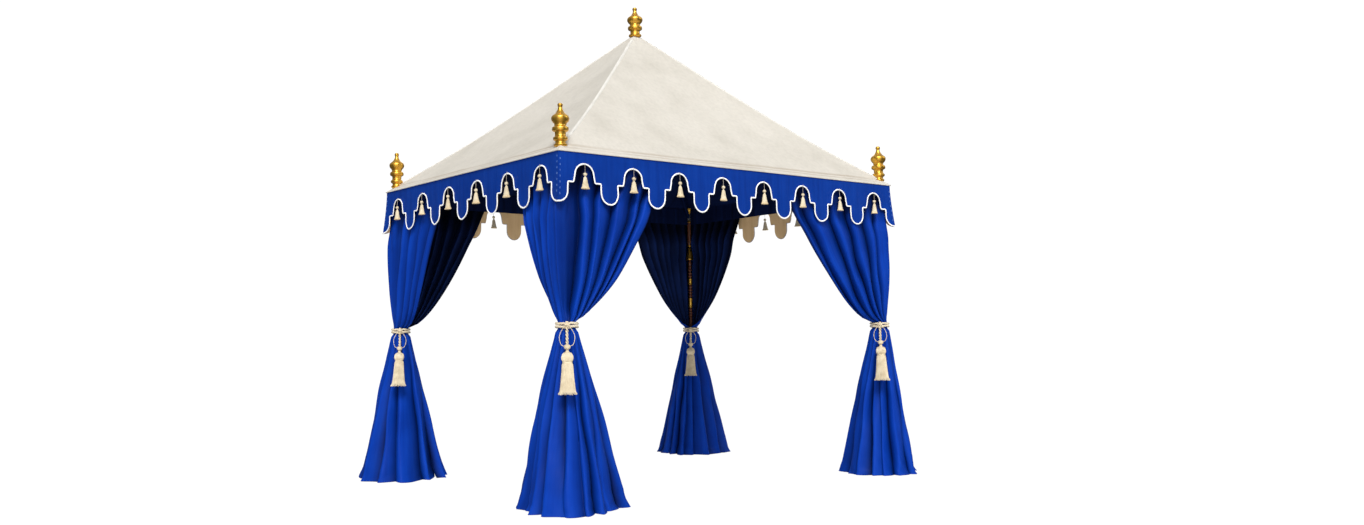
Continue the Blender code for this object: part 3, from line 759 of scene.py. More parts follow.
def scallop_edge(scallops, lobe_steps=10, arch_steps=22, slant=0.0035):
    """The lower edge of a valance from end to end: x from the middle, and depth below the top."""
    straight = LOBE_STRAIGHT_TO
    spring = SHOULDER_AT - (SHOULDER_AT - CROWN_AT) * ARCH_UPRIGHT
    right = []
    for part in range(1, lobe_steps + 1):
        angle = math.pi / 2 * part / lobe_steps
        right.append((LOBE_HALF * math.sin(angle), straight + (1 - straight) * math.cos(angle)))
    for part in range(1, 4):
        right.append((LOBE_HALF + slant * part / 3, straight + (SHOULDER_AT - straight) * part / 3))
    right.append(((LOBE_HALF + slant + 0.5 - ARCH_HALF) / 2, SHOULDER_AT))
    arch = []
    for part in range(4):
        arch.append((0.5 - ARCH_HALF * (1 - 0.03 * part), SHOULDER_AT + (spring - SHOULDER_AT) * part / 4))
    foot_half = ARCH_HALF * 0.88
    for part in range(arch_steps + 1):
        angle = math.pi * part / arch_steps
        depth = spring - (spring - CROWN_AT) * math.sin(angle) ** 0.94
        arch.append((0.5 - foot_half * math.cos(angle), depth))
    arch += [(1 - x, depth) for x, depth in reversed(arch[:4])]
    left = [(1 - x, depth) for x, depth in reversed([(0.0, 1.0), *right])]
    line = [(0.0, 1.0)]
    for scallop in range(scallops):
        line += [(scallop + x, depth) for x, depth in [*right, *arch, *left]]
    line = np.array(line)
    return np.stack([(line[:, 0] - scallops / 2) * PITCH, -DROP * line[:, 1]], axis=-1)


def valance_wave(x, z, seed, half):
    """How far the cloth stands out of its plane: flat along the top, loose at the lobes."""
    free = np.clip(-z / DROP, 0, 1) ** 1.3
    ends = np.clip((half - np.abs(x)) / 0.10, 0, 1)
    wave = LONG_WAVE * ripple(seed, x, z, 0.62, 0.9) + SHORT_WAVE * ripple(seed + 1, x, z, 0.19, 0.5)
    lobe = LOBE_WAVE * np.cos(2 * math.pi * (x / PITCH + scallop_count(half) % 2 / 2))
    creases = CREASE_WAVE * ripple(seed + 2, x, z, 0.9, 0.09) * np.clip(-z / 0.05, 0, 1)
    return (wave + lobe) * free * ends + creases * ends


def corner_kick(x, z, half):
    """How far the loose ends of a valance stand out of both planes at a corner."""
    near = np.clip(1 - (half - np.abs(x)) / 0.17, 0, 1) ** 2
    return CORNER_KICK * near * np.clip(-z / DROP, 0, 1) ** 1.5


def add_valance(side, seed):
    """The scalloped band of a side, its lining in a painted tan of shade and light through the cloth, and its
    piping.
    """
    half = side_place(side)[1]
    edge = scallop_edge(scallop_count(half))
    rows = np.linspace(0, 1, 10)[:, None] ** 0.9
    x = edge[:, 0] + 0 * rows
    z = rows * edge[:, 1]
    kick = corner_kick(x, z, half)
    stand = valance_wave(x, z, seed, half) + kick
    uv = np.stack([x, z], axis=-1) + 5.0
    for part, material, inset, thick, raised, slot, nodes in (
            ("cloth", blue, 0.0, VALANCE_THICK, 0.0, "blue_cloth", ["valance_" + side]),
            ("lining", lining_painted_light, VALANCE_LINING_INSET, VALANCE_LINING_THICK, VALANCE_LINING_SHORT, "canvas", [])):
        within = np.clip(x, inset - half, half - inset)
        local = np.stack([within + np.sign(x) * kick, inset - stand, z + VALANCE_TOP - inset * 0.3], axis=-1)
        local[-1, :, 2] += raised
        shape = Shape()
        cloth_skin(shape, to_side(local, side), thick, uv, side_outward(side))
        item = shape.build("valance_" + side + "_" + part, [material], slot, *nodes, sharp=60)
    add_piping(side, seed, half)


def add_piping(side, seed, half):
    """The white cord sewn round the scalloped edge."""
    edge = scallop_edge(scallop_count(half), 12, 26, 0.0)
    edge[0, 0] -= CORNER_REACH
    edge[-1, 0] += CORNER_REACH
    x, z = smooth_line(edge, PIPING_STEP).T
    kick = corner_kick(x, z, half)
    stand = valance_wave(x, z, seed, half) + kick + PIPING_OUT
    path = np.stack([x + np.sign(x) * kick, -stand, z + VALANCE_TOP + PIPING_UP], axis=-1)
    shape = Shape()
    shape.tube(sweep(to_side(path, side), PIPING_RADIUS, 10, side_outward(side), tall=PIPING_FLAT))
    shape.build("piping_" + side, [piping_thread], "canvas")


def smooth_line(line, spacing):
    """Even spacing along a line, with its corners slightly rounded."""
    step = np.linalg.norm(np.diff(line, axis=0), axis=1)
    run = np.concatenate([[0], np.cumsum(step)])
    keep = np.concatenate([[True], step > 1e-9])
    count = int(run[-1] / spacing)
    places = np.linspace(0, run[-1], count)
    even = np.stack([np.interp(places, run[keep], line[keep][:, k]) for k in range(2)], axis=-1)
    smooth = even.copy()
    smooth[1:-1] = (even[:-2] + 2 * even[1:-1] + even[2:]) / 4
    return smooth


# Small tassels: how far out of the valance's plane they hang, and their largest swing and turn
TASSEL_OUT = 0.0095
TASSEL_SWING = 0.035
TASSEL_TURN = 0.3


def small_tassel():
    """A string, a ball, and a bell of threads with a darker rim, below the top of its arch."""
    shape = Shape()
    ball = -0.068
    neck = ball - 0.016
    shape.tube(lathe([(0.0016, 0.012), (0.0016, -0.058)], 6)[::-1], mark=2)
    angles = np.linspace(0, math.pi, 9)
    ball_line = [(max(0.0014, 0.0148 * math.sin(a)), ball + 0.0125 * math.cos(a)) for a in angles]
    shape.tube(lathe(ball_line, 20, flat=0.85)[::-1])
    bell = [(0.0045, neck + 0.006), (0.0070, neck - 0.002), (0.0130, neck - 0.008), (0.0165, neck - 0.022),
            (0.0200, neck - 0.040), (0.0245, neck - 0.060), (0.0285, neck - 0.073)]
    shape.tube(lathe(bell, 54, flat=0.62, ridges=18, ridge=0.045)[::-1])
    rim = [(0.0265, neck - 0.0705), (0.0315, neck - 0.0745), (0.0340, neck - 0.0800), (0.0325, neck - 0.0835),
           (0.0150, neck - 0.0800)]
    shape.tube(lathe(rim, 72, flat=0.62, ridges=24, ridge=0.035)[::-1], mark=1)
    return shape


def add_small_tassels(side, seed):
    """One tassel in every arch, each with its own swing and turn."""
    scallops = scallop_count(side_place(side)[1])
    draw = np.random.default_rng(seed)
    shape = Shape()
    model = small_tassel()
    for k in range(scallops):
        place = np.array([(k + 0.5 - scallops / 2) * PITCH, -TASSEL_OUT, VALANCE_TOP - DROP * CROWN_AT])
        swing = draw.uniform(-TASSEL_SWING, TASSEL_SWING)
        turn = draw.uniform(0, TASSEL_TURN)
        c, s = math.cos(turn), math.sin(turn)
        for block in model.points:
            x, y, z = block.T
            turned = np.stack([c * x - s * y - z * swing, s * x + c * y, z], axis=-1)
            shape.points.append(to_side(turned + place, side))
        shape.uvs += model.uvs
        shape.faces += [[corner + shape.count for corner in face] for face in model.faces]
        shape.marks += model.marks
        shape.count += model.count
    shape.build("small_tassels_" + side, [cream, cream_tips, string], "cream_cord", sharp=50)


# Stitches at the corners: how far in from the corner, how far out of the cloth, their length and spacing
STITCH_IN = 0.013
STITCH_OUT = 0.0012
STITCH_LONG = 0.013
STITCH_STEP = 0.040
STITCH_RADIUS = 0.0016
STITCH_COUNT = 7

# How far the first stitch is below the valance's top, and how much lower those of the short sides are
STITCH_FROM = 0.030
STITCH_STAGGER = 0.018


def add_corner_stitches():
    """The hand-sewn seam down each corner of the valances."""
    shape = Shape()
    for sign_x, sign_y, *_ in CORNERS.values():
        signs = np.array([sign_x, sign_y, 0.0])
        for k in range(STITCH_COUNT):
            drop = STITCH_FROM + STITCH_STEP * k
            kick = float(corner_kick(HALF_X, -drop, HALF_X))
            for axis, lower in ((0, 0.0), (1, STITCH_STAGGER)):
                out = np.eye(3)[axis]
                reach = np.array([HALF_X, HALF_Y, 0.0]) + kick - STITCH_IN + out * (STITCH_IN + STITCH_OUT)
                start = signs * reach + np.array([0, 0, VALANCE_TOP - drop - lower])
                end = start - np.array([0, 0, STITCH_LONG])
                path = spline([start, (start + end) / 2 + signs * out * STITCH_OUT, end], 5)
                shape.tube(sweep(path, STITCH_RADIUS, 6, np.eye(3)[1 - axis]))
    shape.build("corner_stitches", [seam_thread], "blue_cloth")


# Pelmets inside the eaves

# Their distance in from the valance, thickness, and tuck above the solid's top
PELMET_INSET = 0.0635
PELMET_THICK = 0.0018
PELMET_TUCK = 0.070


def add_pelmet(side, seed):
    low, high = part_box("pelmet_" + side)
    length = (high - low).x if side in ("front", "back") else (high - low).y
    top = high.z + PELMET_TUCK
    x, z = np.meshgrid(np.linspace(-length / 2, length / 2, 120), np.linspace(top, low.z, 14))
    wave = 0.0022 * ripple(seed, x, z, 0.35, 2.0) * (top - z) / (top - low.z)
    grid = to_side(np.stack([x, PELMET_INSET - wave, z], axis=-1), side)
    shape = Shape()
    cloth_skin(shape, grid, PELMET_THICK, np.stack([x + 3.0, z], axis=-1), side_outward(side))
    item = shape.build("pelmet_cloth_" + side, [navy], "navy_lining", "pelmet_" + side, sharp=60)


# Curtains

# Heights: the gathered heading, the tie, the waist round it and where the skirt starts to flare
HEADING_TOP = 2.375
HEADING_BOTTOM = 2.325
TIE = 1.22
WAIST_TOP = TIE + 0.022
WAIST_BOTTOM = TIE - 0.022
FLARE_TOP = 1.17

# How the cloth draws in from the rail to the waist, its offset from the rails and its bend at the post
GATHER_POWER = 0.62
RAIL_OFFSET = 0.034
HUNG_OFFSET = 0.007
RAIL_BEND = 0.022
WAIST_RADIUS = 0.060
FLARE_TOP_RADIUS = 0.080
HEM_RADII = {"front_left": 0.396, "front_right": 0.322, "back_left": 0.378, "back_right": 0.356}

# Stretches of a hem that lie back from the front ones: share, width and depth
HEM_WINGS = {
    "front_left": ((-0.30, 0.13, 0.105), (0.40, 0.10, 0.095)),
    "front_right": ((0.80, 0.08, 0.050),),
    "back_left": ((-0.17, 0.07, 0.080), (-0.93, 0.08, 0.080)),
    "back_right": ((-0.68, 0.08, 0.060), (0.66, 0.08, 0.060)),
}

# How far the hem and the tie stand inward from the post along X and along Y
HEM_DRIFTS = {"front_right": (0.040, 0.030)}
TIE_SHIFTS = {"front_left": (0.0234, -0.0171), "front_right": (0.022, 0.020),
              "back_left": (0.026, 0.020), "back_right": (0.012, 0.012)}

# How far the cloth swells outward between the rail and the tie
BILLOWS = {"front_left": 0.032, "front_right": 0.020, "back_left": 0.014, "back_right": 0.030}

# Valleys between the folds above the tie: shares from the post to the free edges at -1 and 1
UPPER_VALLEYS = {
    "front_left": (-1.0, -0.86, -0.67, -0.46, -0.25, 0.21, 0.41, 0.60, 0.77, 0.885, 1.0),
    "front_right": (-1.0, -0.80, -0.61, -0.43, -0.28, -0.12, 0.116, 0.244, 0.394, 0.594, 0.856, 1.0),
    "back_left": (-1.0, -0.88, -0.70, -0.50, -0.28, 0.10, 0.25, 0.38, 0.51, 0.63, 0.76, 0.88, 1.0),
    "back_right": (-1.0, -0.87, -0.73, -0.57, -0.44, -0.28, -0.13, 0.13, 0.27, 0.42, 0.55, 0.71, 0.85, 1.0),
}

# Valleys below the tie: share, depth beside the tassel and depth at the hem
SKIRT_VALLEYS = {
    "front_left": ((-1.0, 0.012, 0.050), (-0.80, 0.012, 0.045), (-0.61, 0.012, 0.050), (-0.44, 0.012, 0.045),
                   (-0.315, 0.010, 0.022), (-0.20, 0.010, 0.030), (-0.10, 0.028, 0.082), (0.03, 0.024, 0.006),
                   (0.135, 0.008, 0.024), (0.232, 0.022, 0.076), (0.37, 0.012, 0.030), (0.55, 0.012, 0.045),
                   (0.78, 0.012, 0.045), (1.0, 0.012, 0.050)),
    "front_right": ((-1.0, 0.012, 0.045), (-0.78, 0.012, 0.045), (-0.52, 0.012, 0.050), (-0.28, 0.012, 0.045),
                    (-0.06, 0.012, 0.045), (0.174, 0.012, 0.034), (0.356, 0.026, 0.046),
                    (0.475, 0.006, 0.018), (0.578, 0.030, 0.050), (0.69, 0.006, 0.012),
                    (0.808, 0.012, 0.050), (1.0, 0.012, 0.045)),
    "back_left": ((-1.0, 0.012, 0.045), (-0.806, 0.020, 0.068), (-0.57, 0.036, 0.062), (-0.42, 0.022, 0.036),
                  (-0.262, 0.012, 0.068), (-0.10, 0.012, 0.045), (0.12, 0.012, 0.050), (0.36, 0.012, 0.045),
                  (0.60, 0.012, 0.050), (0.82, 0.012, 0.045), (1.0, 0.012, 0.045)),
    "back_right": ((-1.0, 0.034, 0.060), (-0.81, 0.026, 0.060), (-0.61, 0.010, 0.040), (-0.42, 0.012, 0.045),
                   (-0.20, 0.012, 0.050), (0.04, 0.012, 0.045), (0.27, 0.012, 0.045), (0.50, 0.012, 0.045),
                   (0.66, 0.010, 0.030), (0.786, 0.026, 0.060), (0.90, 0.012, 0.024), (1.0, 0.034, 0.060)),
}

# Degrees that each big tassel hangs aside of the line from its post to the photo's viewpoint
TASSEL_TURNS = {"front_left": 0.0, "front_right": 2.0, "back_left": -5.0, "back_right": -2.5}
CLOTH_THICK = 0.003

# Half the cloth's turn round its post at the tie and below it, where the free edges overlap
WAIST_HALF_TURN = 178
HALF_TURN = 187
OVERLAP_TOP = 1.19

# The direction of the cloth's middle from its post, outward from the corner
MIDDLE_TURN = math.radians(-135)

# The cloth's least distance from the axis of its post, and what the post's bell needs more
POST_CLEAR = 0.027
BELL_EXTRA = 0.017
BELL_FROM = 1.91
BELL_TO = 2.09

# Section of a fold: where its crest is, how it falls away, and the lean that peaks at its crest
CREST_AT = 0.30
UPPER_FALL = 1.6
SKIRT_FALL = 1.15
LEAN_POWER = math.log(0.5) / math.log(CREST_AT)


def tassel_side(name):
    """The level direction that a tie's knot and tassel face."""
    sign_x, sign_y, *_ = CORNERS[name]
    turn = math.atan2(CAMERA_AT.y - sign_y * POST_Y, CAMERA_AT.x - sign_x * POST_X)
    turn += math.radians(TASSEL_TURNS[name])
    return np.array([math.cos(turn), math.sin(turn), 0.0])


def skirt_radius(z, hem):
    """Middle of the cloth below the tie."""
    waist = np.clip((z - FLARE_TOP) / (WAIST_BOTTOM - FLARE_TOP), 0, 1)
    flare = FLARE_TOP_RADIUS + (hem - FLARE_TOP_RADIUS) * np.clip((FLARE_TOP - z) / FLARE_TOP, 0, 1)
    return flare + (WAIST_RADIUS - FLARE_TOP_RADIUS) * waist


def curtain_heights():
    hang = 1 - np.linspace(0, 1, 38) ** 1.25
    upper = WAIST_TOP + (HEADING_BOTTOM - WAIST_TOP) * hang
    skirt = FLARE_TOP * (1 - np.linspace(0, 1, 36) ** 0.93)
    skirt = skirt[skirt > 0.06]
    foot = np.linspace(0.055, 0.003, 9)
    return np.concatenate([[HEADING_TOP, 2.352], upper, [1.228, 1.21, WAIST_BOTTOM, 1.186], skirt, foot])


def plan_line(name, share, z):
    """The cloth's plan line before its folds, seen from its post with both spans positive."""
    _, _, span_x, span_y = CORNERS[name]
    shift = np.array(TIE_SHIFTS[name])
    overlap = smooth_step(OVERLAP_TOP - z, 0, 0.12)
    half_turn = np.radians(WAIST_HALF_TURN + (HALF_TURN - WAIST_HALF_TURN) * overlap)
    angle = MIDDLE_TURN + share * half_turn
    circle = np.stack([np.cos(angle), np.sin(angle)], axis=-1)
    offset = RAIL_OFFSET + HUNG_OFFSET * np.clip((HEADING_BOTTOM - z) / 0.08, 0, 1)
    ahead = (share + np.sqrt(share ** 2 + RAIL_BEND ** 2)) / 2
    behind = (-share + np.sqrt(share ** 2 + RAIL_BEND ** 2)) / 2
    hung = np.stack([-offset + ahead * (span_x + offset), -offset + behind * (span_y + offset)], axis=-1)
    down = np.clip((HEADING_BOTTOM - z) / (HEADING_BOTTOM - WAIST_TOP), 0, 1)
    spread = ((1 - down) ** GATHER_POWER)[..., None]
    waist = shift + WAIST_RADIUS * circle
    billow = BILLOWS[name] * smooth_step(2.12 - z, 0, 0.20) * smooth_step(z - TIE, 0.04, 0.35)
    swell = np.stack([smooth_step(-share, -0.25, 0.0), smooth_step(share, -0.25, 0.0)], axis=-1)
    above = waist + (hung - waist) * spread - billow[..., None] * swell
    drift = np.array(HEM_DRIFTS.get(name, (0.0, 0.0))) * np.clip(1 - z / TIE, 0, 1)[..., None]
    below = shift + drift + skirt_radius(z, HEM_RADII[name])[..., None] * circle
    return np.where((z > TIE)[..., None], above, below)


def fold_field(share, valleys, depths, leans, mirrored, fall_power):
    """Depth behind the crests, sideways lean and hollowness, 0 to 1, between the given valleys.

    A fold climbs steeply to its crest, falls away slowly and leans over its steep side.
    """
    depth = np.zeros(share.shape)
    lean = np.zeros(share.shape)
    hollow = np.ones(share.shape)
    for k in range(len(valleys) - 1):
        width = valleys[k + 1] - valleys[k]
        part = (share - valleys[k]) / width
        inside = (part >= 0) & (part <= 1)
        part = np.clip(part, 0, 1)
        first, last = depths[k], depths[k + 1]
        if mirrored:
            part = 1 - part
            first, last = last, first
        climb = 1 - smooth_step(part, 0, CREST_AT)
        fall = np.clip((part - CREST_AT) / (1 - CREST_AT), 0, 1) ** fall_power
        depth = np.where(inside, first * climb + last * fall, depth)
        hollow = np.where(inside, climb + fall, hollow)
        aside = -leans[k] * width * np.sin(math.pi * part ** LEAN_POWER) ** 1.3
        lean = np.where(inside, -aside if mirrored else aside, lean)
    return depth, lean, hollow


def soften(field, times):
    """Rounds a field along each row, its ends kept."""
    for _ in range(times):
        field = field.copy()
        field[:, 1:-1] = (field[:, :-2] + 2 * field[:, 1:-1] + field[:, 2:]) / 4
    return field


CURTAIN_COLUMNS = 252

# Folds above the tie: depth as a share of their width, deepest of all and deepest at the tie
FOLD_STRENGTH = 0.66
DEEPEST_FOLD = 0.066
DEEPEST_AT_TIE = 0.0085

# Small unevenness: fine creases, pleats beside the tie and how many, drag lines, and slack of the skirt
CREASE_DEPTH = 0.0032
PLEAT_DEPTH = 0.0024
PLEATS = 17
DRAG_DEPTH = 0.004
SLACK_DEPTH = 0.0075

# How far one free edge passes in front of the other, and how far the cloth stands out by the tassel
OVERLAP_GAP = 0.005
BESIDE_TASSEL = 0.002


def curtain_surface(name):
    """A curtain's outer face, its mapping and the strength of the painted shade in its hollows, from its free
    edge round to the other.
    """
    sign_x, sign_y, span_x, span_y = CORNERS[name]
    seed = 40 + 10 * list(CORNERS).index(name)
    draw = np.random.default_rng(seed)
    mirrored = name != "front_left"
    share, z = np.meshgrid(np.linspace(-1, 1, CURTAIN_COLUMNS), curtain_heights())
    line = plan_line(name, share, z)
    tangent = np.gradient(line, axis=1)
    pace = soften(np.linalg.norm(tangent, axis=-1) / np.gradient(share, axis=1), 6)
    tangent = unit(tangent)
    outward = np.stack([tangent[..., 1], -tangent[..., 0]], axis=-1)
    inner_share = 1 - smooth_step(np.abs(share), 0.90, 1.0)

    valleys = UPPER_VALLEYS[name]
    drift = 0.016 * ripple(seed + 1, share, z, 0.7, 1.6) + 0.006 * ripple(seed + 2, share, z, 0.4, 0.5)
    heading = smooth_step(HEADING_BOTTOM - z, -0.03, 0.30)
    reach = []
    for k, valley in enumerate(valleys):
        before = valley - valleys[max(k - 1, 0)]
        after = valleys[min(k + 1, len(valleys) - 1)] - valley
        width = (before + after) / (2 if before and after else 1)
        strength = FOLD_STRENGTH * draw.uniform(0.75, 1.25) * (0.25 if abs(valley) == 1 else 1.0)
        reach.append(np.minimum(strength * width * pace, DEEPEST_FOLD) * (0.30 + 0.70 * heading))
    leans = draw.uniform(0.18, 0.34, len(valleys))
    where = share + drift * inner_share
    deep, lean, hollow = fold_field(where, valleys, reach, leans, mirrored, UPPER_FALL)
    # Strength of the painted shade above the tie: the hollow, faded out where the fold is shallow
    upper_painted_shade = hollow * smooth_step(deep, 0.0, 0.012)
    fine = ripple(seed + 8, share, z, 0.075, 2.4, 9) * (0.5 + 0.5 * ripple(seed + 9, share, z, 0.5, 0.8))
    deep = deep + CREASE_DEPTH * fine * heading * inner_share
    near_tie = 1 - smooth_step(z - TIE, 0.022, 0.12)
    deep = deep * (1 - near_tie) + np.minimum(deep, DEEPEST_AT_TIE) * near_tie
    upper = 0.004 * heading * (1 - near_tie) - soften(deep, 1)
    upper_slide = lean * pace * heading

    skirt = SKIRT_VALLEYS[name]
    drift = 0.014 * ripple(seed + 3, share, z, 0.6, 1.6) + 0.006 * ripple(seed + 4, share, z, 0.3, 0.5)
    depths = []
    for _, beside, hem in skirt:
        levels = [1.4 * hem, 1.4 * hem, 2.2 * beside + 0.35 * hem, 2.1 * beside, 0.016, 0.007]
        depths.append(np.interp(z, [0.0, 0.10, 0.45, 0.75, 1.02, WAIST_BOTTOM], levels))
    leans = draw.uniform(0.14, 0.30, len(skirt))
    places = [valley[0] for valley in skirt]
    where = share + drift * inner_share
    deep, lean, hollow = fold_field(where, places, depths, leans, mirrored, SKIRT_FALL)
    # Strength of the painted shade below the tie, from the hollow and the fold's depth
    lower_painted_shade = hollow * (0.35 * smooth_step(deep, 0.0, 0.012) + 0.65 * smooth_step(deep, 0.0, 0.060))
    flow = smooth_step(FLARE_TOP - z, 0.0, 0.5)
    slack = SLACK_DEPTH * ripple(seed + 5, share * 1.3 + z * 0.35, z, 0.34, 1.0) * flow * inner_share
    lower = slack - soften(deep, 1)
    low_down = smooth_step(0.95 - z, 0, 0.95) ** 1.4
    for centre, width, back in HEM_WINGS[name]:
        lower = lower - back * np.exp(-((share - centre) / width) ** 2) * low_down
    lower_slide = lean * pace * flow

    blend = smooth_step(z - TIE, -0.02, 0.02)
    wave = upper * blend + lower * (1 - blend)
    slide = (upper_slide * blend + lower_slide * (1 - blend)) * inner_share
    # The painted shade's strength, 0 to 1, which the curtain's material reads as the fold attribute
    fold = soften(upper_painted_shade * blend + lower_painted_shade * (1 - blend), 1)
    pucker = np.exp(-((z - TIE - 0.055) / 0.055) ** 2) + np.exp(-((z - TIE + 0.070) / 0.055) ** 2)
    pleat = np.sin(2 * math.pi * (PLEATS * share + 0.7 * ripple(seed + 6, share, z, 0.3, 0.5)))
    wave = wave + PLEAT_DEPTH * pucker * pleat
    drag = ripple(seed + 7, share * 1.4 + z * 0.5, z, 0.5, 0.9)
    wave = wave + DRAG_DEPTH * drag * smooth_step(z - TIE, 0.05, 0.4) * heading

    foot = np.exp(-z / 0.030) * smooth_step(0.12 - z, 0, 0.12)
    crumple = ripple(seed + 10, share, z, 0.10, 0.09) * smooth_step(0.20 - z, 0, 0.12)
    wave = wave + foot * (0.013 + 0.008 * ripple(seed + 11, share, z * 0, 0.16, 1.0)) + 0.0035 * crumple
    angle = MIDDLE_TURN + share * math.radians(HALF_TURN)
    facing = np.stack([np.cos(angle) * -sign_x, np.sin(angle) * -sign_y], axis=-1)
    towards = np.clip((facing @ tassel_side(name)[:2] - 0.80) / 0.15, 0, 1)
    tassel = towards * smooth_step(z, 0.72, 0.80) * (z < TIE)
    wave = wave * (1 - tassel) + np.minimum(wave, BESIDE_TASSEL) * tassel
    overlap = smooth_step(np.abs(share), 0.90, 0.97) * smooth_step(TIE - z, 0.03, 0.2)
    wave = wave - overlap * np.sign(share) * OVERLAP_GAP

    plan = line + outward * wave[..., None] + tangent * slide[..., None]
    off_post = np.maximum(np.linalg.norm(plan, axis=-1), 1e-6)
    beside_post = (z > 0.04) & (z < 2.30)
    beside_bell = smooth_step(z, BELL_FROM - 0.05, BELL_FROM) * smooth_step(BELL_TO + 0.04 - z, 0, 0.04)
    clear = POST_CLEAR + BELL_EXTRA * beside_bell
    plan = plan * np.where(beside_post, np.maximum(clear / off_post, 1), 1)[..., None]
    x = sign_x * POST_X - sign_x * plan[..., 0]
    y = sign_y * POST_Y - sign_y * plan[..., 1]
    lift = np.exp(-z / 0.02) * 0.006 * (0.5 + 0.5 * ripple(seed + 12, share, z * 0, 0.25, 1.0))
    height = np.maximum(0.002, z + lift)
    cloth_width = (span_x + span_y) * 1.45
    uv = np.stack([(share + 1) / 2 * cloth_width + 1.0, z + 1.0], axis=-1)
    return np.stack([x, y, height], axis=-1), uv, fold


def add_curtain(name):
    sign_x, sign_y, *_ = CORNERS[name]
    outer, uv, fold = curtain_surface(name)
    shape = Shape()
    cloth_skin(shape, outer, CLOTH_THICK, uv, np.array([sign_x, sign_y, 0.0]), 1)
    # Below the tie the inner face is blue as well
    rows, columns = outer.shape[:2]
    above_tie = int(np.argmax(outer[:, 0, 2] < TIE)) * (columns - 1)
    skin = (rows - 1) * (columns - 1)
    shape.marks[skin + above_tie:2 * skin] = [0] * (skin - above_tie)
    item = shape.build("curtain_cloth_" + name, [curtain_blue_painted_shade, curtain_navy_painted_shade], "blue_cloth", "curtain_" + name)
    # Stores the painted shade's strength per point, for both faces, as the fold attribute
    folds = item.data.attributes.new("fold", "FLOAT", "POINT")
    folds.data.foreach_set("value", np.tile(fold.ravel(), 2).astype(np.float32))
    ["eave_rail_" + side for side in name.split("_")]


# Ties and tassels

# Radius of the rope's turn round the waist, and of one strand
RING_RADIUS = 0.0725
STRAND = 0.0088

# Half the strands' distance away from the knot, their unevenness and their twists round the waist
STRANDS_APART = 0.0112
STRAND_WAVE = 0.0022
STRAND_TWISTS = 15

# Distances from the tie's middle that a tassel's axis keeps: the rope's edge, and the skirt's at the top
# and how much more at the floor
ROPE_EDGE = 0.0808
SKIRT_EDGE = 0.093
SKIRT_EDGE_FLARE = 0.290


def tie_middle(name):
    sign_x, sign_y, *_ = CORNERS[name]
    shift = TIE_SHIFTS[name]
    return np.array([sign_x * (POST_X - shift[0]), sign_y * (POST_Y - shift[1]), 0.0])


def lean_out(z, radius):
    """How far the tassel's axis is from the tie's middle, resting on the rope and the skirt."""
    cloth_edge = SKIRT_EDGE + SKIRT_EDGE_FLARE * max(0.0, FLARE_TOP - z) / FLARE_TOP
    return max(ROPE_EDGE, cloth_edge) + radius


def add_tie_rope(name):
    """Two twisted strands round the waist that cross at the knot."""
    middle = tie_middle(name)
    facing = tassel_side(name)
    start = math.atan2(facing[1], facing[0])
    shape = Shape()
    around = whole_turn(150)
    off = np.minimum(around, 2 * math.pi - around)
    apart = STRANDS_APART * (1 - np.exp(-(off / 0.20) ** 2))
    for sign, radius, swell in ((1, RING_RADIUS, 0.004), (-1, RING_RADIUS + 0.0005, 0.0008)):
        reach = radius + swell * np.exp(-(off / 0.16) ** 2)
        path = middle + np.stack([reach * np.cos(start + around), reach * np.sin(start + around),
                                  TIE + sign * apart + STRAND_WAVE * np.sin(3 * around + sign)], axis=-1)
        rope = sweep(path, STRAND, 18, (0, 0, 1), joined=True, strands=3, depth=0.26, turns=STRAND_TWISTS)
        shape.grid(rope, around=True, along=True)
    shape.build("rope_" + name, [cream], "cream_cord", "tie_rope_" + name)


# Radii of the knot's cord, of the bar over it and of the side loops
KNOT_CORD = 0.0062
KNOT_BAR = 0.0070
LOOP_CORD = 0.0023

# The knot's three turns: shift aside, tilt, shift outward, reach and half height
KNOT_TURNS = ((-0.0085, 0.25, 0.0, 0.0150, 0.0205), (0.0085, -0.25, 0.0, 0.0150, 0.0205),
              (0.0, 0.0, 0.004, 0.0175, 0.0185))

# A side loop of the tie: distance aside and drop
TIE_LOOP = ((0.010, 0.008), (0.030, 0.028), (0.049, 0.066), (0.050, 0.100), (0.038, 0.132), (0.014, 0.141),
            (0.004, 0.128))

# The cord that a big tassel hangs by
CORD_TOP = TIE - 0.006
CORD_LOW = 1.093
CORD_RADIUS = 0.0052
CORD_TWISTS = 2.5

# Turned parts of a big tassel: radius and height
TASSEL_NECK = ((0.009, 1.060), (0.0085, 1.052), (0.0125, 1.046), (0.010, 1.041), (0.013, 1.036))
TASSEL_DOME = ((0.011, 1.041), (0.025, 1.037), (0.035, 1.024), (0.0390, 1.008), (0.0385, 0.993),
               (0.0330, 0.981), (0.0280, 0.975))
TASSEL_BAND = ((0.0280, 0.978), (0.0315, 0.9765), (0.0325, 0.971), (0.0315, 0.9655), (0.0280, 0.964))
TASSEL_CORE = ((0.0270, 0.966), (0.0345, 0.958), (0.0360, 0.930), (0.0400, 0.870), (0.0455, 0.810),
               (0.0490, 0.782))

# A thread of the fringe, height and radius, down to its flared end, and how many there are
FRINGE_TOP = 0.968
FRINGE_LINE = ((FRINGE_TOP, 0.0290), (0.958, 0.0360), (0.925, 0.0380), (0.87, 0.0425), (0.815, 0.0480),
               (0.79, 0.0515))
FRINGE_THREADS = 96
THREAD_RADIUS = 0.00145


def tassel_body(z):
    """Radius of the tassel's outline, which its axis keeps clear of the cloth."""
    return float(np.interp(z, [0.765, 0.85, 0.975, 1.012, 1.038, 1.052, 1.10],
                           [0.060, 0.046, 0.036, 0.036, 0.024, 0.014, 0.010]))


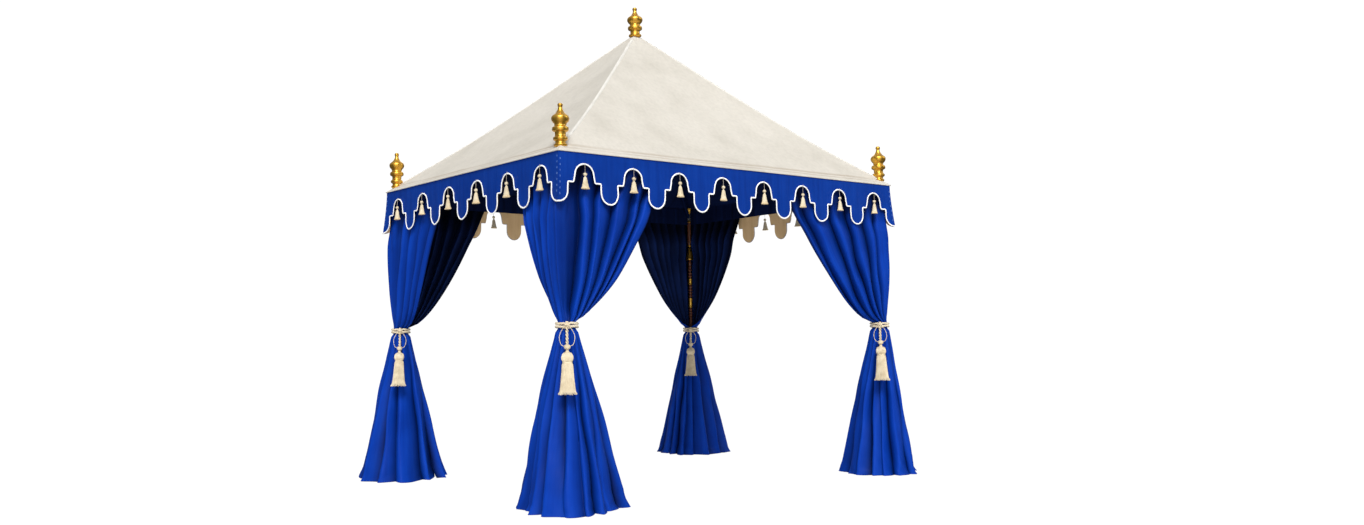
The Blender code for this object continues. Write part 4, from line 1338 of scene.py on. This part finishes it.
def add_tie_tassel(name):
    """Knot, side loops, hanging cord, ball, domed head and a long fringe."""
    middle = tie_middle(name)
    out = tassel_side(name)
    side = np.array([-out[1], out[0], 0.0])
    up = np.array([0.0, 0.0, 1.0])
    shape = Shape()

    def at(distance, across, z):
        return middle + out * distance + side * across + up * z

    def rope(path, radius, sides, facing, depth, turns, joined=False):
        rings = sweep(path, radius, sides, facing, joined=joined, strands=3, depth=depth, turns=turns)
        shape.grid(rings, around=True, along=joined, caps=not joined)

    def column(profile, sides, ridges, ridge, follow=tassel_body):
        angle = whole_turn(sides)
        wave = 1 + ridge * np.cos(ridges * angle)
        rings = []
        for radius, z in profile:
            ring = at(lean_out(z, follow(z)), 0.0, z) + (radius * wave * np.cos(angle))[:, None] * out
            rings.append(ring + (radius * wave * np.sin(angle))[:, None] * side)
        shape.tube(np.array(rings)[::-1])

    knot = RING_RADIUS + 0.012
    for shift, tilt, ahead, reach, tall in KNOT_TURNS:
        path = [at(knot + ahead + reach * 0.75 * math.cos(a), shift + tilt * tall * math.sin(a),
                   TIE - 0.001 + tall * math.sin(a)) for a in whole_turn(40)]
        rope(path, KNOT_CORD, 12, side, 0.24, 5, joined=True)
    bar = [at(knot + 0.016, -0.014, TIE + 0.004), at(knot + 0.021, 0.0, TIE + 0.001),
           at(knot + 0.016, 0.014, TIE - 0.003)]
    rope(spline(bar, 14), KNOT_BAR, 12, up, 0.24, 2)
    for sign in (-1, 1):
        path = [at(lean_out(TIE - drop, 0.004) + 0.004, sign * across, TIE - drop)
                for across, drop in TIE_LOOP]
        rope(spline(path, 40), LOOP_CORD, 8, out, 0.2, 12)
    for start in (math.pi, 0.0):
        path = []
        for z in np.linspace(CORD_TOP, CORD_LOW, 60):
            twist = 2 * math.pi * CORD_TWISTS * (CORD_TOP - z) / (CORD_TOP - CORD_LOW) + start
            distance = lean_out(z, 0.006) + CORD_RADIUS * math.cos(twist)
            path.append(at(distance, CORD_RADIUS * math.sin(twist), z))
        rope(path, CORD_RADIUS, 12, out, 0.22, 8)

    angles = np.linspace(0.1, math.pi - 0.1, 13)
    ball = [(max(0.003, 0.0215 * math.sin(a)), 1.074 + 0.0185 * math.cos(a)) for a in angles]
    column(ball, 36, 12, 0.05, lambda z: 0.019)
    column(rounded(TASSEL_NECK, 1), 28, 14, 0.05)
    column(rounded(TASSEL_DOME, 2), 72, 36, 0.035)
    column(rounded(TASSEL_BAND, 1), 72, 36, 0.02)
    column(TASSEL_CORE, 48, 24, 0.05)
    draw = np.random.default_rng(7 + list(CORNERS).index(name))
    for k in range(FRINGE_THREADS):
        angle = 2 * math.pi * (k + draw.uniform(-0.3, 0.3)) / FRINGE_THREADS
        bottom = 0.766 + draw.uniform(-0.001, 0.007)
        flare = draw.uniform(-0.0015, 0.0025)
        drift = draw.uniform(-0.05, 0.05)
        points = []
        for z, radius in (*FRINGE_LINE, (bottom + 0.006, 0.0570 + flare), (bottom, 0.0615 + flare)):
            turned = angle + drift * (FRINGE_TOP - z) / 0.2
            distance = lean_out(z, tassel_body(z)) + radius * math.cos(turned)
            points.append(at(distance, radius * math.sin(turned), z))
        radial = out * math.cos(angle) + side * math.sin(angle)
        shape.tube(sweep(spline(points, 10), THREAD_RADIUS, 5, radial))
    shape.build("tassel_" + name, [cream, cream_tips], "cream_cord", "tie_tassel_" + name, sharp=60)


# Finials

# The turned finial from its tip: radius and drop
FINIAL_TURNING = (
    (0.0060, 0.000), (0.0150, 0.004), (0.0180, 0.012), (0.0165, 0.021), (0.0135, 0.027), (0.0150, 0.040),
    (0.0220, 0.057), (0.0335, 0.073), (0.0530, 0.088), (0.0590, 0.100), (0.0592, 0.113), (0.0545, 0.127),
    (0.0430, 0.140), (0.0390, 0.147), (0.0390, 0.155), (0.0420, 0.162), (0.0520, 0.167), (0.0545, 0.173),
    (0.0545, 0.187), (0.0520, 0.193), (0.0390, 0.199), (0.0360, 0.206), (0.0360, 0.224), (0.0390, 0.231),
    (0.0460, 0.236), (0.0485, 0.241), (0.0485, 0.250), (0.0460, 0.255), (0.0360, 0.261), (0.0340, 0.266),
    (0.0340, 0.272), (0.0370, 0.279), (0.0430, 0.283), (0.0445, 0.286), (0.0445, 0.291), (0.0420, 0.296),
    (0.0335, 0.301), (0.0335, 0.317), (0.0240, 0.321), (0.0240, 0.3424),
)

# How much fatter the finials are than the turning, and where the apex finial leaves it
CORNER_FATTER = 1.05
APEX_FATTER = 1.12
APEX_LOWEST_RING = 0.251


def finial_line(name):
    """Radius and drop of a finial. The apex has no lower ring and stands on the crown."""
    if name != "apex":
        return [(radius * CORNER_FATTER, drop) for radius, drop in FINIAL_TURNING]
    upper = [(radius * APEX_FATTER, drop) for radius, drop in FINIAL_TURNING if drop < APEX_LOWEST_RING]
    return [*upper, (0.0400, 0.257), (0.0280, 0.2617)]


def add_finials():
    for name in ["apex", *CORNERS]:
        low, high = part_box("finial_" + name)
        centre = (low + high) / 2
        profile = [(radius, high.z - drop) for radius, drop in reversed(finial_line(name))]
        shape = Shape()
        shape.tube(lathe(rounded(profile, 1), 60, (centre.x, centre.y)))
        shape.build("gold_finial_" + name, [gold], "gold_finish", "finial_" + name, sharp=70)


# Posts

def bead(low, high, neck, fat, steps=7):
    """One round bead between two heights."""
    line = []
    for k in range(steps + 1):
        part = k / steps
        line.append((neck + (fat - neck) * math.sin(math.pi * part), low + (high - low) * part))
    return line


# Runs of wooden beads on a post: low, high and how many
BEAD_RUNS = ((1.355, 1.437, 3), (1.548, 1.668, 4), (1.745, 1.865, 4))


def post_line():
    """The turned wood of a post from its foot to the bracket."""
    shaft = 0.017
    line = [(0.050, 0.0), (0.050, 0.006), (0.046, 0.009), (0.030, 0.014), (0.020, 0.026), (shaft, 0.034)]
    line += [(shaft, 1.10), (0.0145, 1.12), (0.0145, 1.345)]
    for low, high, count in BEAD_RUNS:
        step = (high - low) / count
        for k in range(count):
            line += bead(low + step * k, low + step * (k + 1) - 0.003, 0.0105, 0.0185)
    line += [(0.0135, 1.875), (0.0165, 1.890), (0.0130, 1.905), (0.0120, 1.930), (0.0120, 2.060)]
    line += [(0.0160, 2.068), (0.0190, 2.100), (0.0190, 2.3240)]
    return line


def gold_parts():
    """The gold sleeves, bell and rings on a post."""
    sleeves = []
    for low, high in ((1.442, 1.543), (1.672, 1.739)):
        sleeves.append([(0.0150, low), (0.0215, low + 0.003), (0.0230, low + 0.010), (0.0200, low + 0.016),
                        (0.0220, (low + high) / 2), (0.0200, high - 0.016), (0.0230, high - 0.010),
                        (0.0215, high - 0.003), (0.0150, high)])
    bell = [(0.0290, 1.923), (0.0355, 1.926), (0.0365, 1.934), (0.0340, 1.944), (0.0300, 1.975),
            (0.0255, 2.005), (0.0205, 2.030), (0.0165, 2.045), (0.0140, 2.053)]
    ring_low = bead(2.056, 2.078, 0.013, 0.0235)
    collar = [(0.0175, 2.300), (0.0300, 2.303), (0.0310, 2.308), (0.0240, 2.314), (0.0240, 2.3230),
              (0.0180, 2.3240)]
    return [*sleeves, bell, ring_low, collar]


def add_posts():
    for name, (sign_x, sign_y, *_) in CORNERS.items():
        centre = (sign_x * POST_X, sign_y * POST_Y)
        shape = Shape()
        shape.tube(lathe(post_line(), 40, centre))
        shape.build("turned_post_" + name, [wood], "frame_wood", "post_" + name, sharp=50)
        shape = Shape()
        for part in gold_parts():
            shape.tube(lathe(rounded(part, 1), 40, centre))
        shape.build("post_gold_" + name, [gold], "gold_finish", sharp=60)


# Frame under the roof

POLE_RADIUS = 0.0138


def add_rafters():
    """Round hip poles, cut upright at both ends like the solids."""
    for name in CORNERS:
        node = "rafter_" + name
        points = np.array([vertex.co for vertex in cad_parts[node].data.vertices])
        reach = np.hypot(points[:, 0], points[:, 1])
        outer_half = reach > (reach.max() + reach.min()) / 2
        foot = points[outer_half].mean(axis=0)
        head = points[~outer_half].mean(axis=0)
        path = foot + (head - foot) * np.linspace(0, 1, 12)[:, None]
        rings = sweep(path, POLE_RADIUS, 28, (-foot[1], foot[0], 0.0))
        level = unit(np.array([foot[0], foot[1], 0.0]))
        run = unit(head - foot)
        for end, ring in ((foot, rings[0]), (head, rings[-1])):
            ring -= (((ring - end) @ level) / float(run @ level))[:, None] * run
        shape = Shape()
        shape.tube(rings)
        shape.build("hip_pole_" + name, [navy], "navy_lining", node, sharp=50)


def dress_frame():
    """Finishes for the solids that stay: rails, brackets and the hub."""
    for name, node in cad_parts.items():
        if name.startswith(("eave_rail_", "bracket_")) or name == "crown_hub":
            node.data.materials.clear()
            node.data.materials.append(steel)


# Floor, light and camera

def add_floor():
    mesh = bpy.data.meshes.new("floor")
    reach = 60.0
    corners = [(-reach, -reach, 0), (reach, -reach, 0), (reach, reach, 0), (-reach, reach, 0)]
    mesh.from_pydata(corners, [], [(0, 1, 2, 3)])
    item = add_object("floor", mesh)
    f = Finish("pale_floor", 0.9)
    f.colour((0.05, 0.05, 0.05))
    f.set(Emission_Color=(1.0, 1.0, 1.0), Emission_Strength=1.0)
    mesh.materials.append(f.material)
    item.visible_diffuse = False
    item.visible_glossy = False
    item.visible_shadow = False


def add_sun(name, towards, strength, spread, colour):
    """A wide soft light that shines from one direction over the whole floor."""
    light = bpy.data.lights.new(name, "SUN")
    light.energy = strength
    light.angle = math.radians(spread)
    light.color = colour
    item = add_object(name, light)
    item.rotation_euler = Vector(towards).to_track_quat("Z", "Y").to_euler()


# The camera's background, and the sky's grey from the floor up to high above for cloth and for gold
SEEN_WHITE = (1.7, 1.7, 1.7)
CLOTH_SKY = [(0.0, 0.80), (0.9, 0.46)]
GOLD_SKY = [(0.0, 0.20), (0.9, 0.70)]
WORLD_STRENGTH = 0.62


def add_world():
    """White behind the tent. Cloth is lit by a pale floor from below, gold mirrors a darker one."""
    world = bpy.data.worlds.new("studio")
    bpy.context.scene.world = world
    world.use_nodes = True
    n = Nodes(world.node_tree)
    height = n.split(n.node("ShaderNodeTexCoord").outputs["Generated"])["Z"]
    rays = n.node("ShaderNodeLightPath").outputs
    lit = n.mix(rays["Is Glossy Ray"], n.ramp(height, CLOTH_SKY), n.ramp(height, GOLD_SKY))
    background = n.tree.nodes["Background"].inputs
    n.put(background["Color"], n.mix(rays["Is Camera Ray"], lit, SEEN_WHITE))
    n.put(background["Strength"], WORLD_STRENGTH)


def add_camera():
    right = Vector((math.cos(CAMERA_YAW), -math.sin(CAMERA_YAW), 0))
    ahead = Vector((math.sin(CAMERA_YAW), math.cos(CAMERA_YAW), 0))
    up = Vector((0, 0, 1))
    axis = ahead * math.cos(CAMERA_PITCH) + up * math.sin(CAMERA_PITCH)
    above = up * math.cos(CAMERA_PITCH) - ahead * math.sin(CAMERA_PITCH)
    across = right * math.cos(CAMERA_ROLL) + above * math.sin(CAMERA_ROLL)
    above = above * math.cos(CAMERA_ROLL) - right * math.sin(CAMERA_ROLL)
    data = bpy.data.cameras.new("camera")
    data.sensor_width = SENSOR
    data.sensor_fit = "HORIZONTAL"
    data.lens = FOCAL_PIXELS / IMAGE_WIDTH * SENSOR
    data.shift_x = (IMAGE_WIDTH / 2 - CENTRE_COLUMN) / IMAGE_WIDTH
    data.clip_end = 500
    item = add_object("camera", data)
    turn = Matrix((across, above, -axis)).transposed().to_4x4()
    item.matrix_world = Matrix.Translation(CAMERA_AT) @ turn
    bpy.context.scene.camera = item


add_camera()
add_world()
add_floor()
WARM = (1.0, 0.99, 0.97)
COOL = (0.97, 0.985, 1.0)
add_sun("key", (-0.53, -0.75, 0.95), 2.90, 24, WARM)
add_sun("front", (-0.59, -0.81, 0.10), 0.80, 60, WARM)
add_sun("bounce", (-0.45, -0.60, -0.66), 0.45, 60, WARM)
add_sun("behind", (0.62, 0.70, 0.50), 0.50, 40, COOL)
add_sun("fill", (0.80, -0.50, 0.50), 0.40, 30, COOL)
bpy.context.scene.view_settings.view_transform = "Standard"

add_roof()
add_ceiling()
add_hip_seams()
add_finial_cuffs()
for number, side_name in enumerate(SIDES):
    add_valance(side_name, 200 + 10 * number)
    add_small_tassels(side_name, 300 + number)
    add_pelmet(side_name, 400 + number)
add_corner_stitches()
for corner_name in CORNERS:
    add_curtain(corner_name)
    add_tie_rope(corner_name)
    add_tie_tassel(corner_name)
add_finials()
add_posts()
add_rafters()
dress_frame()
